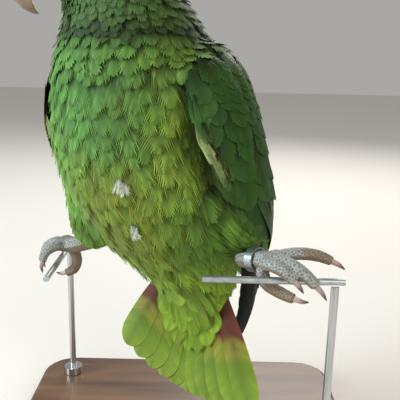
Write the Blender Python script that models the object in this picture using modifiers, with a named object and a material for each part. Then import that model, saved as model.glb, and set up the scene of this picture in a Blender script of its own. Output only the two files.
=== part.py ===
"""A life-size orange-winged amazon clinging to two cut lengths of wire on a display stand.

Units are metres, +Z is up and the origin is the centre of the stand's underside. The bird's
breast faces -Y and a little -X; its left foot holds the wire in front, and its right foot holds
the wire at the side. Every shape below is worked out from the dimensions in the first section.
"""

import math

import bmesh
import bpy
from mathutils import Matrix, Vector

MM = 0.001
GAP = 0.35 * MM  # clear air between neighbouring pieces

# The stand.
BASE_SIZE = (214 * MM, 168 * MM, 12 * MM)
BASE_CORNER = 22 * MM
BASE_EDGE = 2.5 * MM
ROD_RADIUS = 2.2 * MM
FERRULE_RADIUS = 6.5 * MM
FERRULE_HEIGHT = 5 * MM
FERRULE_LIFT = 0.1 * MM  # the rod's foot stands this much out of its ferrule

# The two perch wires: centre, half length and radius.
FRONT_WIRE = Vector((47, -58, 134)) * MM
SIDE_WIRE = Vector((-84.5, 29, 112)) * MM
FRONT_HALF_LENGTH = 37 * MM
SIDE_HALF_LENGTH = 36 * MM
WIRE_RADIUS = 1.9 * MM

# The body: height, centre x and y, heading, half width, depth to the breast, depth to the back.
# The heading turns the breast from -Y towards -X, in degrees. Lengths are in millimetres.
BODY_STATIONS = (
    (64, 10, 9, 32, 3.5, 2, 3),
    (75, 9, 8.5, 32, 10, 6, 7),
    (88, 7, 8, 32, 19, 11, 12),
    (102, 4, 7, 32, 28.5, 17, 18),
    (121, -4, 5.5, 32, 42.5, 28, 26),
    (140, -12, 2, 32, 53, 37, 31),
    (164, -20, -1, 32, 59, 44, 38),
    (192, -25, -3, 32, 60, 47, 43),
    (219, -27, -4, 32, 57.5, 47, 45),
    (242, -30, -4, 34, 52, 43, 44),
    (260, -33, -4, 40, 45, 37, 41),
    (276, -37, -6, 50, 38, 32, 37),
    (288, -45, -9, 60, 31, 29, 33),
    (299, -51, -12, 66, 24.5, 24, 28),
    (308, -54.5, -13, 69, 20.5, 18, 22.5),
    (315, -57, -14, 70, 14, 12, 15),
)
VENT_TOP = 128 * MM
NECK_BASE = 252 * MM
BODY_SIDES = 24
RING_STEP = 8 * MM

# The head stands on its own frame: heading and downward pitch in degrees.
HEAD_CENTRE = Vector((-62, -16, 300.5)) * MM
HEAD_HEADING = 70
HEAD_PITCH = 32
# Height above the head's centre, half width, depth to the face, depth to the nape.
HEAD_STATIONS = (
    (-25, 9, 11, 10),
    (-19, 17, 20, 20),
    (-9, 20.5, 25.5, 26),
    (0, 21.5, 26.5, 28.5),
    (8, 21, 26, 28),
    (15, 18, 22.5, 24.5),
    (20.5, 12, 15, 17),
    (23.6, 4.5, 5.5, 6.5),
)
HEAD_SIDES = 20
EYE_RADIUS = 5.6 * MM
EYE_PLACE = (10.5, 15.6, 5.0)  # forward, sideways and up from the head's centre, in millimetres

# The bill in the head's frame: forward and up of the hook's spine, half width, half depth.
UPPER_BILL = (
    (16.0, 3.4, 8.8, 10.0),
    (23.0, 3.4, 8.4, 9.4),
    (29.0, 1.4, 7.6, 8.4),
    (33.6, -2.8, 6.2, 7.0),
    (36.0, -8.0, 4.6, 5.2),
    (36.2, -13.4, 2.8, 3.4),
    (35.0, -17.6, 1.4, 1.8),
    (33.4, -20.4, 0.4, 0.5),
)
LOWER_BILL = (
    (15.0, -9.6, 7.8, 6.0),
    (20.5, -10.2, 7.2, 5.4),
    (25.0, -9.6, 5.8, 4.2),
    (28.6, -7.6, 3.6, 2.4),
)

# Each folded wing wraps the body between two bearings, counted from the breast round the side:
# height, outer half width, outer depth to the back, front bearing, rear bearing, thickness.
WING_STATIONS = (
    (254, 52, 46, 94, 132, 3.5),
    (243, 61, 52, 67, 152, 8),
    (219, 70, 55, 60, 166, 9),
    (192, 76, 57, 68, 173, 9),
    (164, 77, 55, 79, 174, 8.5),
    (140, 68, 50, 90, 175, 7.5),
    (119, 54, 41, 103, 175, 6),
    (99, 46, 35, 116, 173, 4.5),
    (79, 37, 30, 130, 168, 3.2),
    (64, 31, 26, 143, 158, 2.2),
)
WING_EDGE = 1.4 * MM
WING_CLEAR = 2.3  # millimetres of air between the wing and the body
WING_POINTS = 9
RIGHT_WING_BACK = 12  # degrees the right wing's front edge sits further round
RIGHT_WING_TUCK = 2.0  # millimetres it lies closer in

# The tail: twelve vanes fanned from one root, paired from the middle pair to the outermost.
TAIL_ROOT = Vector((8, 9, 124)) * MM
TAIL_HEADING = 30
TAIL_LEAN = 2.0  # degrees, tips away from the breast side
TAIL_TURN = -6  # degrees, tips towards +X
TAIL_LENGTH = 101 * MM
TAIL_PAIRS = 6
TAIL_SPREAD = 32  # degrees from the middle to the outermost vane
TAIL_OUTER_SHARE = {1: 0.95, -1: 0.86}  # outermost vane's length against the middle one's, by side
VANE_HALF_WIDTH = 10.5 * MM
VANE_THICKNESS = 1.7 * MM
VANE_STEP = 1.0 * MM  # each pair lies this much nearer the breast side than the last

# The feathered thighs: root, ankle, radius at each, and the swell at the middle.
LEFT_THIGH = (Vector((14, -25, 182)) * MM, Vector((40, -34, 144)) * MM, 23 * MM, 12.5 * MM)
RIGHT_THIGH = (Vector((-52, 6, 176)) * MM, Vector((-60, 21, 126)) * MM, 23 * MM, 12.5 * MM)
THIGH_SWELL = 1.16
THIGH_SIDES = 16
THIGH_RINGS = 9

# The feet, in millimetres from the wire each holds: along the wire, inward to the body, and up.
# Each toe runs from the knuckle to the root of its claw; the last point is the claw's tip.
LEFT_HEEL = Vector((33, -38, 139)) * MM
RIGHT_HEEL = Vector((-63, 23, 127)) * MM
KNUCKLE = {"left": (-1.5, 6.5, 8.0), "right": (0.0, 7.0, 10.0)}
SHANK_RADII = (5.4, 5.9, 5.8)
TOES = {
    "left": {
        "inner": ((-5.0, 4.0, 7.6), (-1.5, -2.5, 9.0), (4.5, -6.2, 7.0), (9.5, -7.6, 2.6), (14.6, -7.6, -4.0)),
        "middle": ((1.0, 3.5, 10.4), (9.0, -3.6, 9.4), (15.5, -7.2, 5.4), (20.5, -8.2, 0.6), (26.4, -8.0, -7.4)),
        "outer": ((4.0, 8.0, 10.6), (13.0, 7.0, 12.6), (23.0, 7.6, 11.6), (31.0, 7.6, 8.6), (38.0, 5.5, 4.6)),
        "hind": ((-5.5, 8.4, 3.0), (-3.0, 7.0, -4.4), (4.4, 3.0, -8.0), (11.0, -1.6, -9.4), (18.0, -6.4, -9.0)),
    },
    "right": {
        "inner": ((-1.0, 5.0, 9.5), (-3.5, -1.0, 10.6), (-5.5, -7.4, 7.4), (-6.5, -10.0, 1.0), (-7.0, -9.6, -7.0)),
        "middle": ((0.0, 5.0, 11.0), (1.5, -1.5, 12.4), (3.0, -8.6, 8.6), (4.0, -11.4, 1.2), (4.4, -11.0, -7.6)),
        "outer": ((3.0, 8.0, 9.0), (10.0, 6.0, 9.6), (16.5, 0.5, 9.0), (21.0, -5.0, 5.2), (25.0, -8.4, -1.6)),
        "hind": ((0.0, 10.0, 6.0), (0.0, 11.6, 0.0), (1.0, 9.6, -6.4), (2.0, 3.6, -9.8), (2.4, -3.4, -9.8)),
    },
}
TOE_RADII = (3.8, 3.7, 3.5, 3.0)
CLAW_RADIUS = 1.9 * MM
CLAW_BOW = 0.22  # the claw's arch as a share of its length
FOOT_VOXEL = 0.9 * MM
FOOT_FACES = 560

# The metal ring on the left shank.
RING_RADIUS = 6.9 * MM
RING_WALL = 0.8 * MM
RING_HALF_WIDTH = 2.6 * MM
RING_SHARE = 0.45  # its place from the heel to the knuckle


def make_material(name, colour, roughness, metallic=0.0):
    """A plain Principled finish in the part's own colour."""
    material = bpy.data.materials.new(name)
    material.use_nodes = True
    shader = material.node_tree.nodes["Principled BSDF"]
    shader.inputs["Base Color"].default_value = (*colour, 1.0)
    shader.inputs["Roughness"].default_value = roughness
    shader.inputs["Metallic"].default_value = metallic
    return material


def finish(obj, collection, material):
    """Puts an object in a collection with one material."""
    for old in list(obj.users_collection):
        old.objects.unlink(obj)
    collection.objects.link(obj)
    obj.data.materials.clear()
    obj.data.materials.append(material)
    return obj


def smooth(obj, angle=50):
    """Rounds the shading of a mesh, keeping edges sharper than the angle."""
    obj.data.shade_smooth()
    obj.data.set_sharp_from_angle(angle=math.radians(angle))


def blend(rows, value):
    """The row of a station table at a value of its first column, on a smooth curve through it."""
    last = len(rows) - 1
    here = max(k for k in range(last) if k == 0 or rows[k][0] <= value)
    low, high = rows[here], rows[here + 1]
    step = high[0] - low[0]
    t = (value - low[0]) / step

    def slope(k, column):
        before, after = rows[max(k - 1, 0)], rows[min(k + 1, last)]
        return (after[column] - before[column]) / (after[0] - before[0])

    found = [value]
    for column in range(1, len(low)):
        found.append(
            (2 * t**3 - 3 * t**2 + 1) * low[column]
            + (t**3 - 2 * t**2 + t) * step * slope(here, column)
            + (3 * t**2 - 2 * t**3) * high[column]
            + (t**3 - t**2) * step * slope(here + 1, column)
        )
    return found


def heading_axes(heading):
    """Level unit vectors to the front and to the left of a bird that faces this heading."""
    turn = math.radians(heading)
    front = Vector((-math.sin(turn), -math.cos(turn), 0))
    left = Vector((math.cos(turn), -math.sin(turn), 0))
    return front, left


def body_point(height, bearing, grow=0.0):
    """A point on the body at a height and a bearing from the breast, moved out by grow."""
    _, x, y, heading, half, breast, back = blend(BODY_STATIONS, height / MM)
    front, left = heading_axes(heading)
    depth = (breast if math.cos(bearing) > 0 else back) * MM
    centre = Vector((x * MM, y * MM, height))
    along = front * (depth + grow) * math.cos(bearing)
    across = left * (half * MM + grow) * math.sin(bearing)
    return centre + along + across


def heights(low, high):
    """Evenly spaced heights from low to high, about one ring step apart."""
    count = max(2, round((high - low) / RING_STEP))
    return [low + (high - low) * k / count for k in range(count + 1)]


def loft(name, rings, collection, material):
    """A closed mesh through rings of equally many points, capped at both ends."""
    mesh = bmesh.new()
    rows = [[mesh.verts.new(point) for point in ring] for ring in rings]
    for lower, upper in zip(rows, rows[1:]):
        for k in range(len(lower)):
            after = (k + 1) % len(lower)
            mesh.faces.new((lower[k], lower[after], upper[after], upper[k]))
    mesh.faces.new(rows[0])
    mesh.faces.new(rows[-1])
    bmesh.ops.recalc_face_normals(mesh, faces=mesh.faces)
    data = bpy.data.meshes.new(name)
    mesh.to_mesh(data)
    mesh.free()
    obj = bpy.data.objects.new(name, data)
    collection.objects.link(obj)
    data.materials.append(material)
    smooth(obj)
    return obj


def body_loft(name, low, high, grow, collection, material):
    """The body's outer shape between two heights."""
    turns = [math.tau * k / BODY_SIDES for k in range(BODY_SIDES)]
    rings = [[body_point(h, turn, grow) for turn in turns] for h in heights(low, high)]
    return loft(name, rings, collection, material)


def cut(obj, cutter, operation="DIFFERENCE"):
    """Cuts an object by another, as a modifier that is applied at once."""
    modifier = obj.modifiers.new("cut", "BOOLEAN")
    modifier.object = cutter
    modifier.operation = operation
    modifier.solver = "EXACT"
    apply_modifiers(obj)


def apply_modifiers(obj):
    """Replaces an object's mesh by its evaluated mesh."""
    graph = bpy.context.evaluated_depsgraph_get()
    made = bpy.data.meshes.new_from_object(obj.evaluated_get(graph))
    obj.modifiers.clear()
    obj.data = made


def tidy(obj, distance=0.02 * MM):
    """Merges points that a cut left on top of each other, and keeps the largest piece."""
    mesh = bmesh.new()
    mesh.from_mesh(obj.data)
    bmesh.ops.remove_doubles(mesh, verts=mesh.verts, dist=distance)
    bmesh.ops.dissolve_degenerate(mesh, edges=mesh.edges, dist=distance)
    mesh.verts.ensure_lookup_table()
    seen, largest = set(), []
    for start in mesh.verts:
        if start in seen:
            continue
        group, waiting = [], [start]
        seen.add(start)
        while waiting:
            vert = waiting.pop()
            group.append(vert)
            for edge in vert.link_edges:
                other = edge.other_vert(vert)
                if other not in seen:
                    seen.add(other)
                    waiting.append(other)
        if len(group) > len(largest):
            largest = group
    stray = set(mesh.verts) - set(largest)
    bmesh.ops.delete(mesh, geom=list(stray), context="VERTS")
    mesh.to_mesh(obj.data)
    mesh.free()
    smooth(obj)


def helper(collection):
    """Marks the guides in a collection so that they aren't part of the object."""
    for obj in collection.objects:
        obj.hide_render = True
        obj.display_type = "WIRE"


def head_frame():
    """The head's front, left and up directions, pitched forward on its own heading."""
    level, left = heading_axes(HEAD_HEADING)
    pitch = math.radians(HEAD_PITCH)
    up = Vector((0, 0, 1))
    front = level * math.cos(pitch) - up * math.sin(pitch)
    return front, left, level * math.sin(pitch) + up * math.cos(pitch)


def head_place(forward, sideways, upward):
    """A point in the head's frame, given in millimetres."""
    front, left, up = head_frame()
    return HEAD_CENTRE + (front * forward + left * sideways + up * upward) * MM


def head_loft(name, grow, collection, material):
    """The feathered head, as rings stacked along its own upright."""
    low, high = HEAD_STATIONS[0][0], HEAD_STATIONS[-1][0]
    count = 11
    rings = []
    for k in range(count + 1):
        level = low + (high - low) * math.sin(0.5 * math.pi * k / count)
        _, half, face, nape = blend(HEAD_STATIONS, level)
        ring = []
        for j in range(HEAD_SIDES):
            turn = math.tau * j / HEAD_SIDES
            depth = face if math.cos(turn) > 0 else nape
            forward = (depth + grow) * math.cos(turn)
            ring.append(head_place(forward, (half + grow) * math.sin(turn), level + grow * k / count))
        rings.append(ring)
    return loft(name, rings, collection, material)


def bill_loft(name, rows, grow, collection, material):
    """A bill half: oval rings along its spine, each square to the spine."""
    sides = 16
    rings = []
    for k, (forward, upward, half, depth) in enumerate(rows):
        before, after = rows[max(k - 1, 0)], rows[min(k + 1, len(rows) - 1)]
        spine = Vector((after[0] - before[0], 0, after[1] - before[1])).normalized()
        normal = Vector((-spine.z, 0, spine.x))
        ring = []
        for j in range(sides):
            turn = math.tau * j / sides
            rise = normal * (depth + grow) * math.sin(turn)
            side = (half + grow) * math.cos(turn)
            ring.append(head_place(forward + rise.x, side, upward + rise.z))
        rings.append(ring)
    return loft(name, rings, collection, material)


def build_head(solids, guides, plumage, horn, glass):
    """Head, bill and eyes; returns the head's guide, which the neck is cut by."""
    clear = GAP / MM
    head = head_loft("head", 0.0, solids, plumage)
    grown = head_loft("head_guide", clear, guides, plumage)
    for side, sign in (("left", 1), ("right", -1)):
        forward, sideways, upward = EYE_PLACE
        place = head_place(forward, sign * sideways, upward)
        for name, radius, where in (
            ("eye_" + side, EYE_RADIUS, solids),
            ("socket_" + side, EYE_RADIUS + GAP, guides),
        ):
            bpy.ops.mesh.primitive_uv_sphere_add(
                segments=16, ring_count=8, radius=radius, location=place
            )
            ball = bpy.context.object
            ball.name = name
            finish(ball, where, glass)
            smooth(ball)
        cut(head, guides.objects["socket_" + side])
    tidy(head)
    upper = bill_loft("beak_upper", UPPER_BILL, 0.0, solids, horn)
    upper_guide = bill_loft("upper_guide", UPPER_BILL, clear, guides, horn)
    lower = bill_loft("beak_lower", LOWER_BILL, 0.0, solids, horn)
    cut(upper, grown)
    cut(lower, grown)
    cut(lower, upper_guide)
    cut(lower, body_loft("neck_guide", NECK_BASE, BODY_STATIONS[-1][0] * MM, GAP, guides, plumage))
    tidy(upper)
    tidy(lower)
    return grown


def wing_loft(name, sign, grow, collection, material):
    """A folded wing: a curved blade that wraps the body's side, thin at its edges."""
    rings = []
    low, high = WING_STATIONS[-1][0], WING_STATIONS[0][0]
    table = WING_STATIONS[::-1]
    count = 15
    for k in range(count + 1):
        height = low + (high - low) * k / count
        _, outer, rear, start, end, thick = blend(table, height)
        _, x, y, heading, half, _, back = blend(BODY_STATIONS, max(height, BODY_STATIONS[0][0]))
        if sign < 0:
            outer -= RIGHT_WING_TUCK
            rear -= RIGHT_WING_TUCK
        front, left = heading_axes(heading)
        centre = Vector((x, y, height)) * MM
        inner_half = max(outer - thick, half + WING_CLEAR) * MM
        inner_back = max(rear - thick, back + WING_CLEAR) * MM
        inner_front = inner_half
        if sign < 0:
            start += RIGHT_WING_BACK * min(1.0, (height / MM - 64) / 60)
        margin = math.degrees(grow / (outer * MM))
        start, end = start - margin, end + margin
        outside, inside = [], []
        for j in range(WING_POINTS):
            share = j / (WING_POINTS - 1)
            bearing = math.radians(start + (end - start) * share)
            depth = inner_front if math.cos(bearing) > 0 else inner_back
            radial = front * depth * math.cos(bearing) + left * sign * inner_half * math.sin(bearing)
            outward = radial.normalized()
            wall = WING_EDGE + (thick * MM - WING_EDGE) * math.sqrt(4 * share * (1 - share))
            inside.append(centre + radial - outward * grow)
            outside.append(centre + radial + outward * (wall + grow))
        rings.append(outside + inside[::-1])
    return loft(name, rings, collection, material)


def vane_outline(length, half_width, points=7):
    """Half widths down a tail vane: a slim quill end, a broad blade and a round tip."""
    rows = []
    for k in range(points + 1):
        share = k / points
        down = length * math.sin(0.5 * math.pi * share)
        swell = 0.42 + 0.58 * min(1.0, down / (0.62 * length))
        tip = math.sqrt(max(0.0, 1 - max(0.0, (down / length - 0.80) / 0.20) ** 2.2))
        rows.append((down, half_width * swell * max(tip, 0.12)))
    return rows


def tail_vane(name, side, pair, collection, material):
    """One tail feather as a thin plate, fanned and stepped by its place in the tail."""
    front, left = heading_axes(TAIL_HEADING)
    down = Vector((0, 0, -1))
    lean, turn = math.radians(TAIL_LEAN), math.radians(TAIL_TURN)
    down = (down * math.cos(lean) - front * math.sin(lean)).normalized()
    axis = (down * math.cos(turn) + left * math.sin(turn)).normalized()
    across = (left * math.cos(turn) - down * math.sin(turn)).normalized()
    normal = across.cross(axis).normalized()
    if normal.dot(front) < 0:
        normal.negate()
    share = (pair + 0.5) / (TAIL_PAIRS - 0.5)
    angle = math.radians(TAIL_SPREAD) * share * side
    length = TAIL_LENGTH * (1 - (1 - TAIL_OUTER_SHARE[side]) * share**1.5)
    run = axis * math.cos(angle) + across * math.sin(angle)
    side_way = across * math.cos(angle) - axis * math.sin(angle)
    shift = normal * VANE_STEP * (pair + (0.5 if side > 0 else 0.0) - 1.5)
    rings = []
    for place, half in vane_outline(length, VANE_HALF_WIDTH):
        middle = TAIL_ROOT + run * place + shift
        face = normal * VANE_THICKNESS / 2
        rings.append(
            [
                middle - side_way * half - face,
                middle + side_way * half - face,
                middle + side_way * half + face,
                middle - side_way * half + face,
            ]
        )
    return loft(name, rings, collection, material)


def build_tail(solids, guides, plumage):
    """Twelve vanes joined into one fan, with room cut for the coverts that bury its root."""
    tail = None
    for pair in range(TAIL_PAIRS):
        for side in (-1, 1):
            vane = tail_vane("tail" if tail is None else "vane_guide", side, pair, solids, plumage)
            if tail is None:
                tail = vane
            else:
                finish(vane, guides, plumage)
                cut(tail, vane, "UNION")
    cut(tail, body_loft("vent_guide", BODY_STATIONS[0][0] * MM, VENT_TOP + 20 * MM, GAP, guides, plumage))
    tidy(tail)
    return tail


def thigh_loft(name, shape, grow, collection, material):
    """A feathered thigh: round rings from inside the flank to the ankle."""
    root, ankle, wide, narrow = shape
    axis = (ankle - root).normalized()
    side = axis.cross(Vector((0, 0, 1))).normalized()
    up = side.cross(axis)
    rings = []
    for k in range(THIGH_RINGS + 1):
        share = k / THIGH_RINGS
        radius = wide + (narrow - wide) * share
        radius *= 1 + (THIGH_SWELL - 1) * math.sin(math.pi * share)
        end = math.sqrt(max(0.0, 1 - max(0.0, (share - 0.86) / 0.14) ** 2))
        radius = radius * (0.55 + 0.45 * end) + grow
        centre = root.lerp(ankle, share)
        rings.append(
            [
                centre + (side * math.cos(a) + up * math.sin(a)) * radius
                for a in (math.tau * j / THIGH_SIDES for j in range(THIGH_SIDES))
            ]
        )
    return loft(name, rings, collection, material)


def foot_place(side, point):
    """A point of a foot, in millimetres from the wire that the foot holds."""
    along, inward, up = point
    if side == "left":
        return FRONT_WIRE + Vector((along, inward, up)) * MM
    return SIDE_WIRE + Vector((inward, along, up)) * MM


def tube(name, points, radii, collection, material, steps=5):
    """A round tube through points, as a bevelled curve with a radius at each point."""
    curve = bpy.data.curves.new(name, "CURVE")
    curve.dimensions = "3D"
    curve.bevel_depth = 1.0
    curve.bevel_resolution = 1
    curve.use_fill_caps = True
    spline = curve.splines.new("POLY")
    rows = []
    for k in range((len(points) - 1) * steps + 1):
        whole, part = divmod(k, steps)
        rows.append(curve_row(points, radii, whole, part / steps))
    spline.points.add(len(rows) - 1)
    for point, (place, radius) in zip(spline.points, rows):
        point.co = (*place, 1)
        point.radius = radius
    obj = bpy.data.objects.new(name, curve)
    collection.objects.link(obj)
    curve.materials.append(material)
    return curve_to_mesh(obj, collection)


def curve_row(points, radii, whole, part):
    """A place and a radius on a Catmull-Rom curve through the points."""
    last = len(points) - 1
    if whole >= last:
        return points[last], radii[last]
    p0, p1 = points[max(whole - 1, 0)], points[whole]
    p2, p3 = points[whole + 1], points[min(whole + 2, last)]
    place = 0.5 * (
        2 * p1
        + (p2 - p0) * part
        + (2 * p0 - 5 * p1 + 4 * p2 - p3) * part**2
        + (3 * p1 - p0 - 3 * p2 + p3) * part**3
    )
    return place, radii[whole] + (radii[whole + 1] - radii[whole]) * part


def curve_to_mesh(obj, collection):
    """A curve's evaluated mesh as an object of its own, with its caps welded."""
    graph = bpy.context.evaluated_depsgraph_get()
    data = bpy.data.meshes.new_from_object(obj.evaluated_get(graph))
    name = obj.name
    material = obj.data.materials[0]
    bpy.data.objects.remove(obj)
    mesh = bmesh.new()
    mesh.from_mesh(data)
    bmesh.ops.remove_doubles(mesh, verts=mesh.verts, dist=0.01 * MM)
    bmesh.ops.recalc_face_normals(mesh, faces=mesh.faces)
    mesh.to_mesh(data)
    mesh.free()
    made = bpy.data.objects.new(name, data)
    collection.objects.link(made)
    made.data.materials.clear()
    made.data.materials.append(material)
    smooth(made)
    return made


def join(name, pieces, collection, material):
    """Several closed meshes as one object."""
    mesh = bmesh.new()
    for piece in pieces:
        mesh.from_mesh(piece.data)
        bpy.data.objects.remove(piece)
    data = bpy.data.meshes.new(name)
    mesh.to_mesh(data)
    mesh.free()
    obj = bpy.data.objects.new(name, data)
    collection.objects.link(obj)
    data.materials.append(material)
    return obj


def ankle_of(side):
    """The heel, and the knuckle where the toes begin."""
    return (LEFT_HEEL if side == "left" else RIGHT_HEEL), foot_place(side, KNUCKLE[side])


def build_foot(side, solids, guides, skin, horn):
    """Shank, palm and four toes as one skin, and a horn claw on each toe."""
    ankle, knuckle = ankle_of(side)
    inside = ankle.lerp(knuckle, -0.15)
    middle = ankle.lerp(knuckle, 0.55)
    pieces = [
        tube("shank", [inside, middle, knuckle], [r * MM for r in SHANK_RADII], guides, skin)
    ]
    roots = [Vector(path[0]) for path in TOES[side].values()]
    palm_points = [foot_place(side, p) for p in (roots[0], Vector(KNUCKLE[side]), roots[2])]
    pieces.append(tube("palm", palm_points, [4.8 * MM, 5.6 * MM, 4.6 * MM], guides, skin))
    for path in TOES[side].values():
        points = [foot_place(side, p) for p in path[:4]]
        pieces.append(tube("toe", points, [r * MM for r in TOE_RADII], guides, skin))
    foot = join("foot_" + side, pieces, solids, skin)
    remesh = foot.modifiers.new("skin", "REMESH")
    remesh.mode = "VOXEL"
    remesh.voxel_size = FOOT_VOXEL
    relax = foot.modifiers.new("relax", "SMOOTH")
    relax.factor = 0.5
    relax.iterations = 2
    apply_modifiers(foot)
    reduce = foot.modifiers.new("reduce", "DECIMATE")
    reduce.ratio = FOOT_FACES / sum(len(face.vertices) - 2 for face in foot.data.polygons)
    apply_modifiers(foot)
    for toe, path in TOES[side].items():
        before, root, tip = (foot_place(side, p) for p in path[2:])
        length = (tip - root).length
        along = (root - before).normalized()
        bow = (root + along * length * 0.55).lerp((root + tip) / 2, 1 - CLAW_BOW * 2)
        radii = [CLAW_RADIUS, CLAW_RADIUS * 0.72, CLAW_RADIUS * 0.14]
        claw = tube(f"claw_{side}_{toe}", [root - along * 1.0 * MM, bow, tip], radii, solids, horn, 3)
        grown = [radius + GAP for radius in radii]
        guide = tube("claw_guide", [root - along * 1.4 * MM, bow, tip], grown, guides, horn, 3)
        cut(foot, guide)
        smooth(claw)
    for wire, centre, half, axis in (
        ("left", FRONT_WIRE, FRONT_HALF_LENGTH, "X"),
        ("right", SIDE_WIRE, SIDE_HALF_LENGTH, "Y"),
    ):
        if wire == side:
            cut(foot, wire_rod("wire_guide", centre, half + 2 * MM, axis, WIRE_RADIUS + GAP, guides, horn))
    tidy(foot)
    return foot


def wire_rod(name, centre, half, axis, radius, collection, material):
    """A straight length of round wire along X or Y, or a rod along Z."""
    turns = {"X": (0, math.pi / 2, 0), "Y": (math.pi / 2, 0, 0), "Z": (0, 0, 0)}
    bpy.ops.mesh.primitive_cylinder_add(
        vertices=20, radius=radius, depth=2 * half, location=centre, rotation=turns[axis]
    )
    rod = bpy.context.object
    rod.name = name
    finish(rod, collection, material)
    smooth(rod)
    return rod


def ring_shape(name, grow, collection, metal):
    """The metal band as a turned profile round the left shank, thickened all over by grow."""
    heel, knuckle = ankle_of("left")
    turn = Vector((0, 0, 1)).rotation_difference(knuckle - heel)
    outer, inner = RING_RADIUS + grow, RING_RADIUS - RING_WALL - grow
    half = RING_HALF_WIDTH + grow
    mesh = bmesh.new()
    profile = ((outer, half), (outer, -half), (inner, -half), (inner, half))
    corners = [mesh.verts.new((x, 0, z)) for x, z in profile]
    for k, corner in enumerate(corners):
        mesh.edges.new((corner, corners[(k + 1) % len(corners)]))
    data = bpy.data.meshes.new(name)
    mesh.to_mesh(data)
    mesh.free()
    ring = bpy.data.objects.new(name, data)
    collection.objects.link(ring)
    data.materials.append(metal)
    screw = ring.modifiers.new("turn", "SCREW")
    screw.steps = screw.render_steps = 28
    screw.use_merge_vertices = True
    screw.merge_threshold = 0.01 * MM
    apply_modifiers(ring)
    place = Matrix.Translation(heel.lerp(knuckle, RING_SHARE)) @ turn.to_matrix().to_4x4()
    ring.data.transform(place)
    mesh = bmesh.new()
    mesh.from_mesh(ring.data)
    bmesh.ops.remove_doubles(mesh, verts=mesh.verts, dist=0.01 * MM)
    bmesh.ops.recalc_face_normals(mesh, faces=mesh.faces)
    mesh.to_mesh(ring.data)
    mesh.free()
    smooth(ring, 30)
    return ring


def build_leg_ring(solids, guides, metal):
    """The flat metal band, with room for it in the thigh's lower edge and round the shank."""
    ring_shape("leg_ring", 0.0, solids, metal)
    cut(solids.objects["foot_left"], ring_shape("ring_guide", GAP, guides, metal))
    tidy(solids.objects["foot_left"])
    heel, knuckle = ankle_of("left")
    turn = Vector((0, 0, 1)).rotation_difference(knuckle - heel)
    bpy.ops.mesh.primitive_cylinder_add(
        vertices=28,
        radius=RING_RADIUS + GAP,
        depth=2 * (RING_HALF_WIDTH + GAP),
        location=heel.lerp(knuckle, RING_SHARE),
        rotation=turn.to_euler(),
    )
    guide = bpy.context.object
    finish(guide, guides, metal)
    cut(solids.objects["thigh_left"], guide)
    tidy(solids.objects["thigh_left"])


def build_stand(solids, guides, wood, steel):
    """A flat plinth, and two rods in ferrules up to the undersides of the perch wires."""
    length, depth, height = BASE_SIZE
    bpy.ops.mesh.primitive_cube_add(size=1, location=(0, 0, height / 2))
    base = bpy.context.object
    base.name = "stand_base"
    base.data.transform(Matrix.Diagonal((length, depth, height, 1)))
    finish(base, solids, wood)
    mesh = bmesh.new()
    mesh.from_mesh(base.data)
    upright = [e for e in mesh.edges if abs(e.verts[0].co.z - e.verts[1].co.z) > height / 2]
    bmesh.ops.bevel(mesh, geom=upright, offset=BASE_CORNER, segments=5, profile=0.5, affect="EDGES")
    mesh.to_mesh(base.data)
    mesh.free()
    bevel = base.modifiers.new("edge", "BEVEL")
    bevel.width = BASE_EDGE
    bevel.segments = 2
    bevel.limit_method = "ANGLE"
    bevel.angle_limit = math.radians(50)
    smooth(base, 35)
    feet = {
        "front": FRONT_WIRE + Vector((FRONT_HALF_LENGTH - 5 * MM, 0, 0)),
        "side": SIDE_WIRE + Vector((0, SIDE_HALF_LENGTH - 5 * MM, 0)),
    }
    for name, top in feet.items():
        low, high = height + GAP, top.z - WIRE_RADIUS - GAP
        middle = Vector((top.x, top.y, (low + high) / 2))
        rod_name = "stand_rod_" + name
        rod = wire_rod(rod_name, middle, (high - low) / 2, "Z", ROD_RADIUS, solids, steel)
        collar = Vector((top.x, top.y, low + FERRULE_LIFT + FERRULE_HEIGHT / 2))
        ferrule = wire_rod("ferrule", collar, FERRULE_HEIGHT / 2, "Z", FERRULE_RADIUS, guides, steel)
        cut(rod, ferrule, "UNION")
        smooth(rod, 35)
    wire_rod("perch_wire_front", FRONT_WIRE, FRONT_HALF_LENGTH, "X", WIRE_RADIUS, solids, steel)
    wire_rod("perch_wire_side", SIDE_WIRE, SIDE_HALF_LENGTH, "Y", WIRE_RADIUS, solids, steel)


def build_body(solids, guides, plumage, head_guide):
    """Vent, trunk and neck from one flowing shape, with thighs and wings let into its sides."""
    slit = GAP / 2
    body_loft("vent", BODY_STATIONS[0][0] * MM, VENT_TOP - slit, 0.0, solids, plumage)
    body_loft("trunk", VENT_TOP + slit, NECK_BASE - slit, 0.0, solids, plumage)
    neck = body_loft("neck", NECK_BASE + slit, BODY_STATIONS[-1][0] * MM, 0.0, solids, plumage)
    cut(neck, head_guide)
    tidy(neck)
    trunk_guide = body_loft(
        "trunk_guide", VENT_TOP - 24 * MM, NECK_BASE, GAP, guides, plumage
    )
    for side, sign, shape in (("left", 1, LEFT_THIGH), ("right", -1, RIGHT_THIGH)):
        wing_loft("wing_" + side, sign, 0.0, solids, plumage)
        wing_guide = wing_loft("wing_guide_" + side, sign, 2 * GAP, guides, plumage)
        thigh = thigh_loft("thigh_" + side, shape, 0.0, solids, plumage)
        thigh_loft("thigh_guide_" + side, shape, GAP, guides, plumage)
        cut(thigh, trunk_guide)
        cut(thigh, wing_guide)
        tidy(thigh)


def clear_scene():
    """Starts from an empty file."""
    for obj in list(bpy.data.objects):
        bpy.data.objects.remove(obj)


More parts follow.
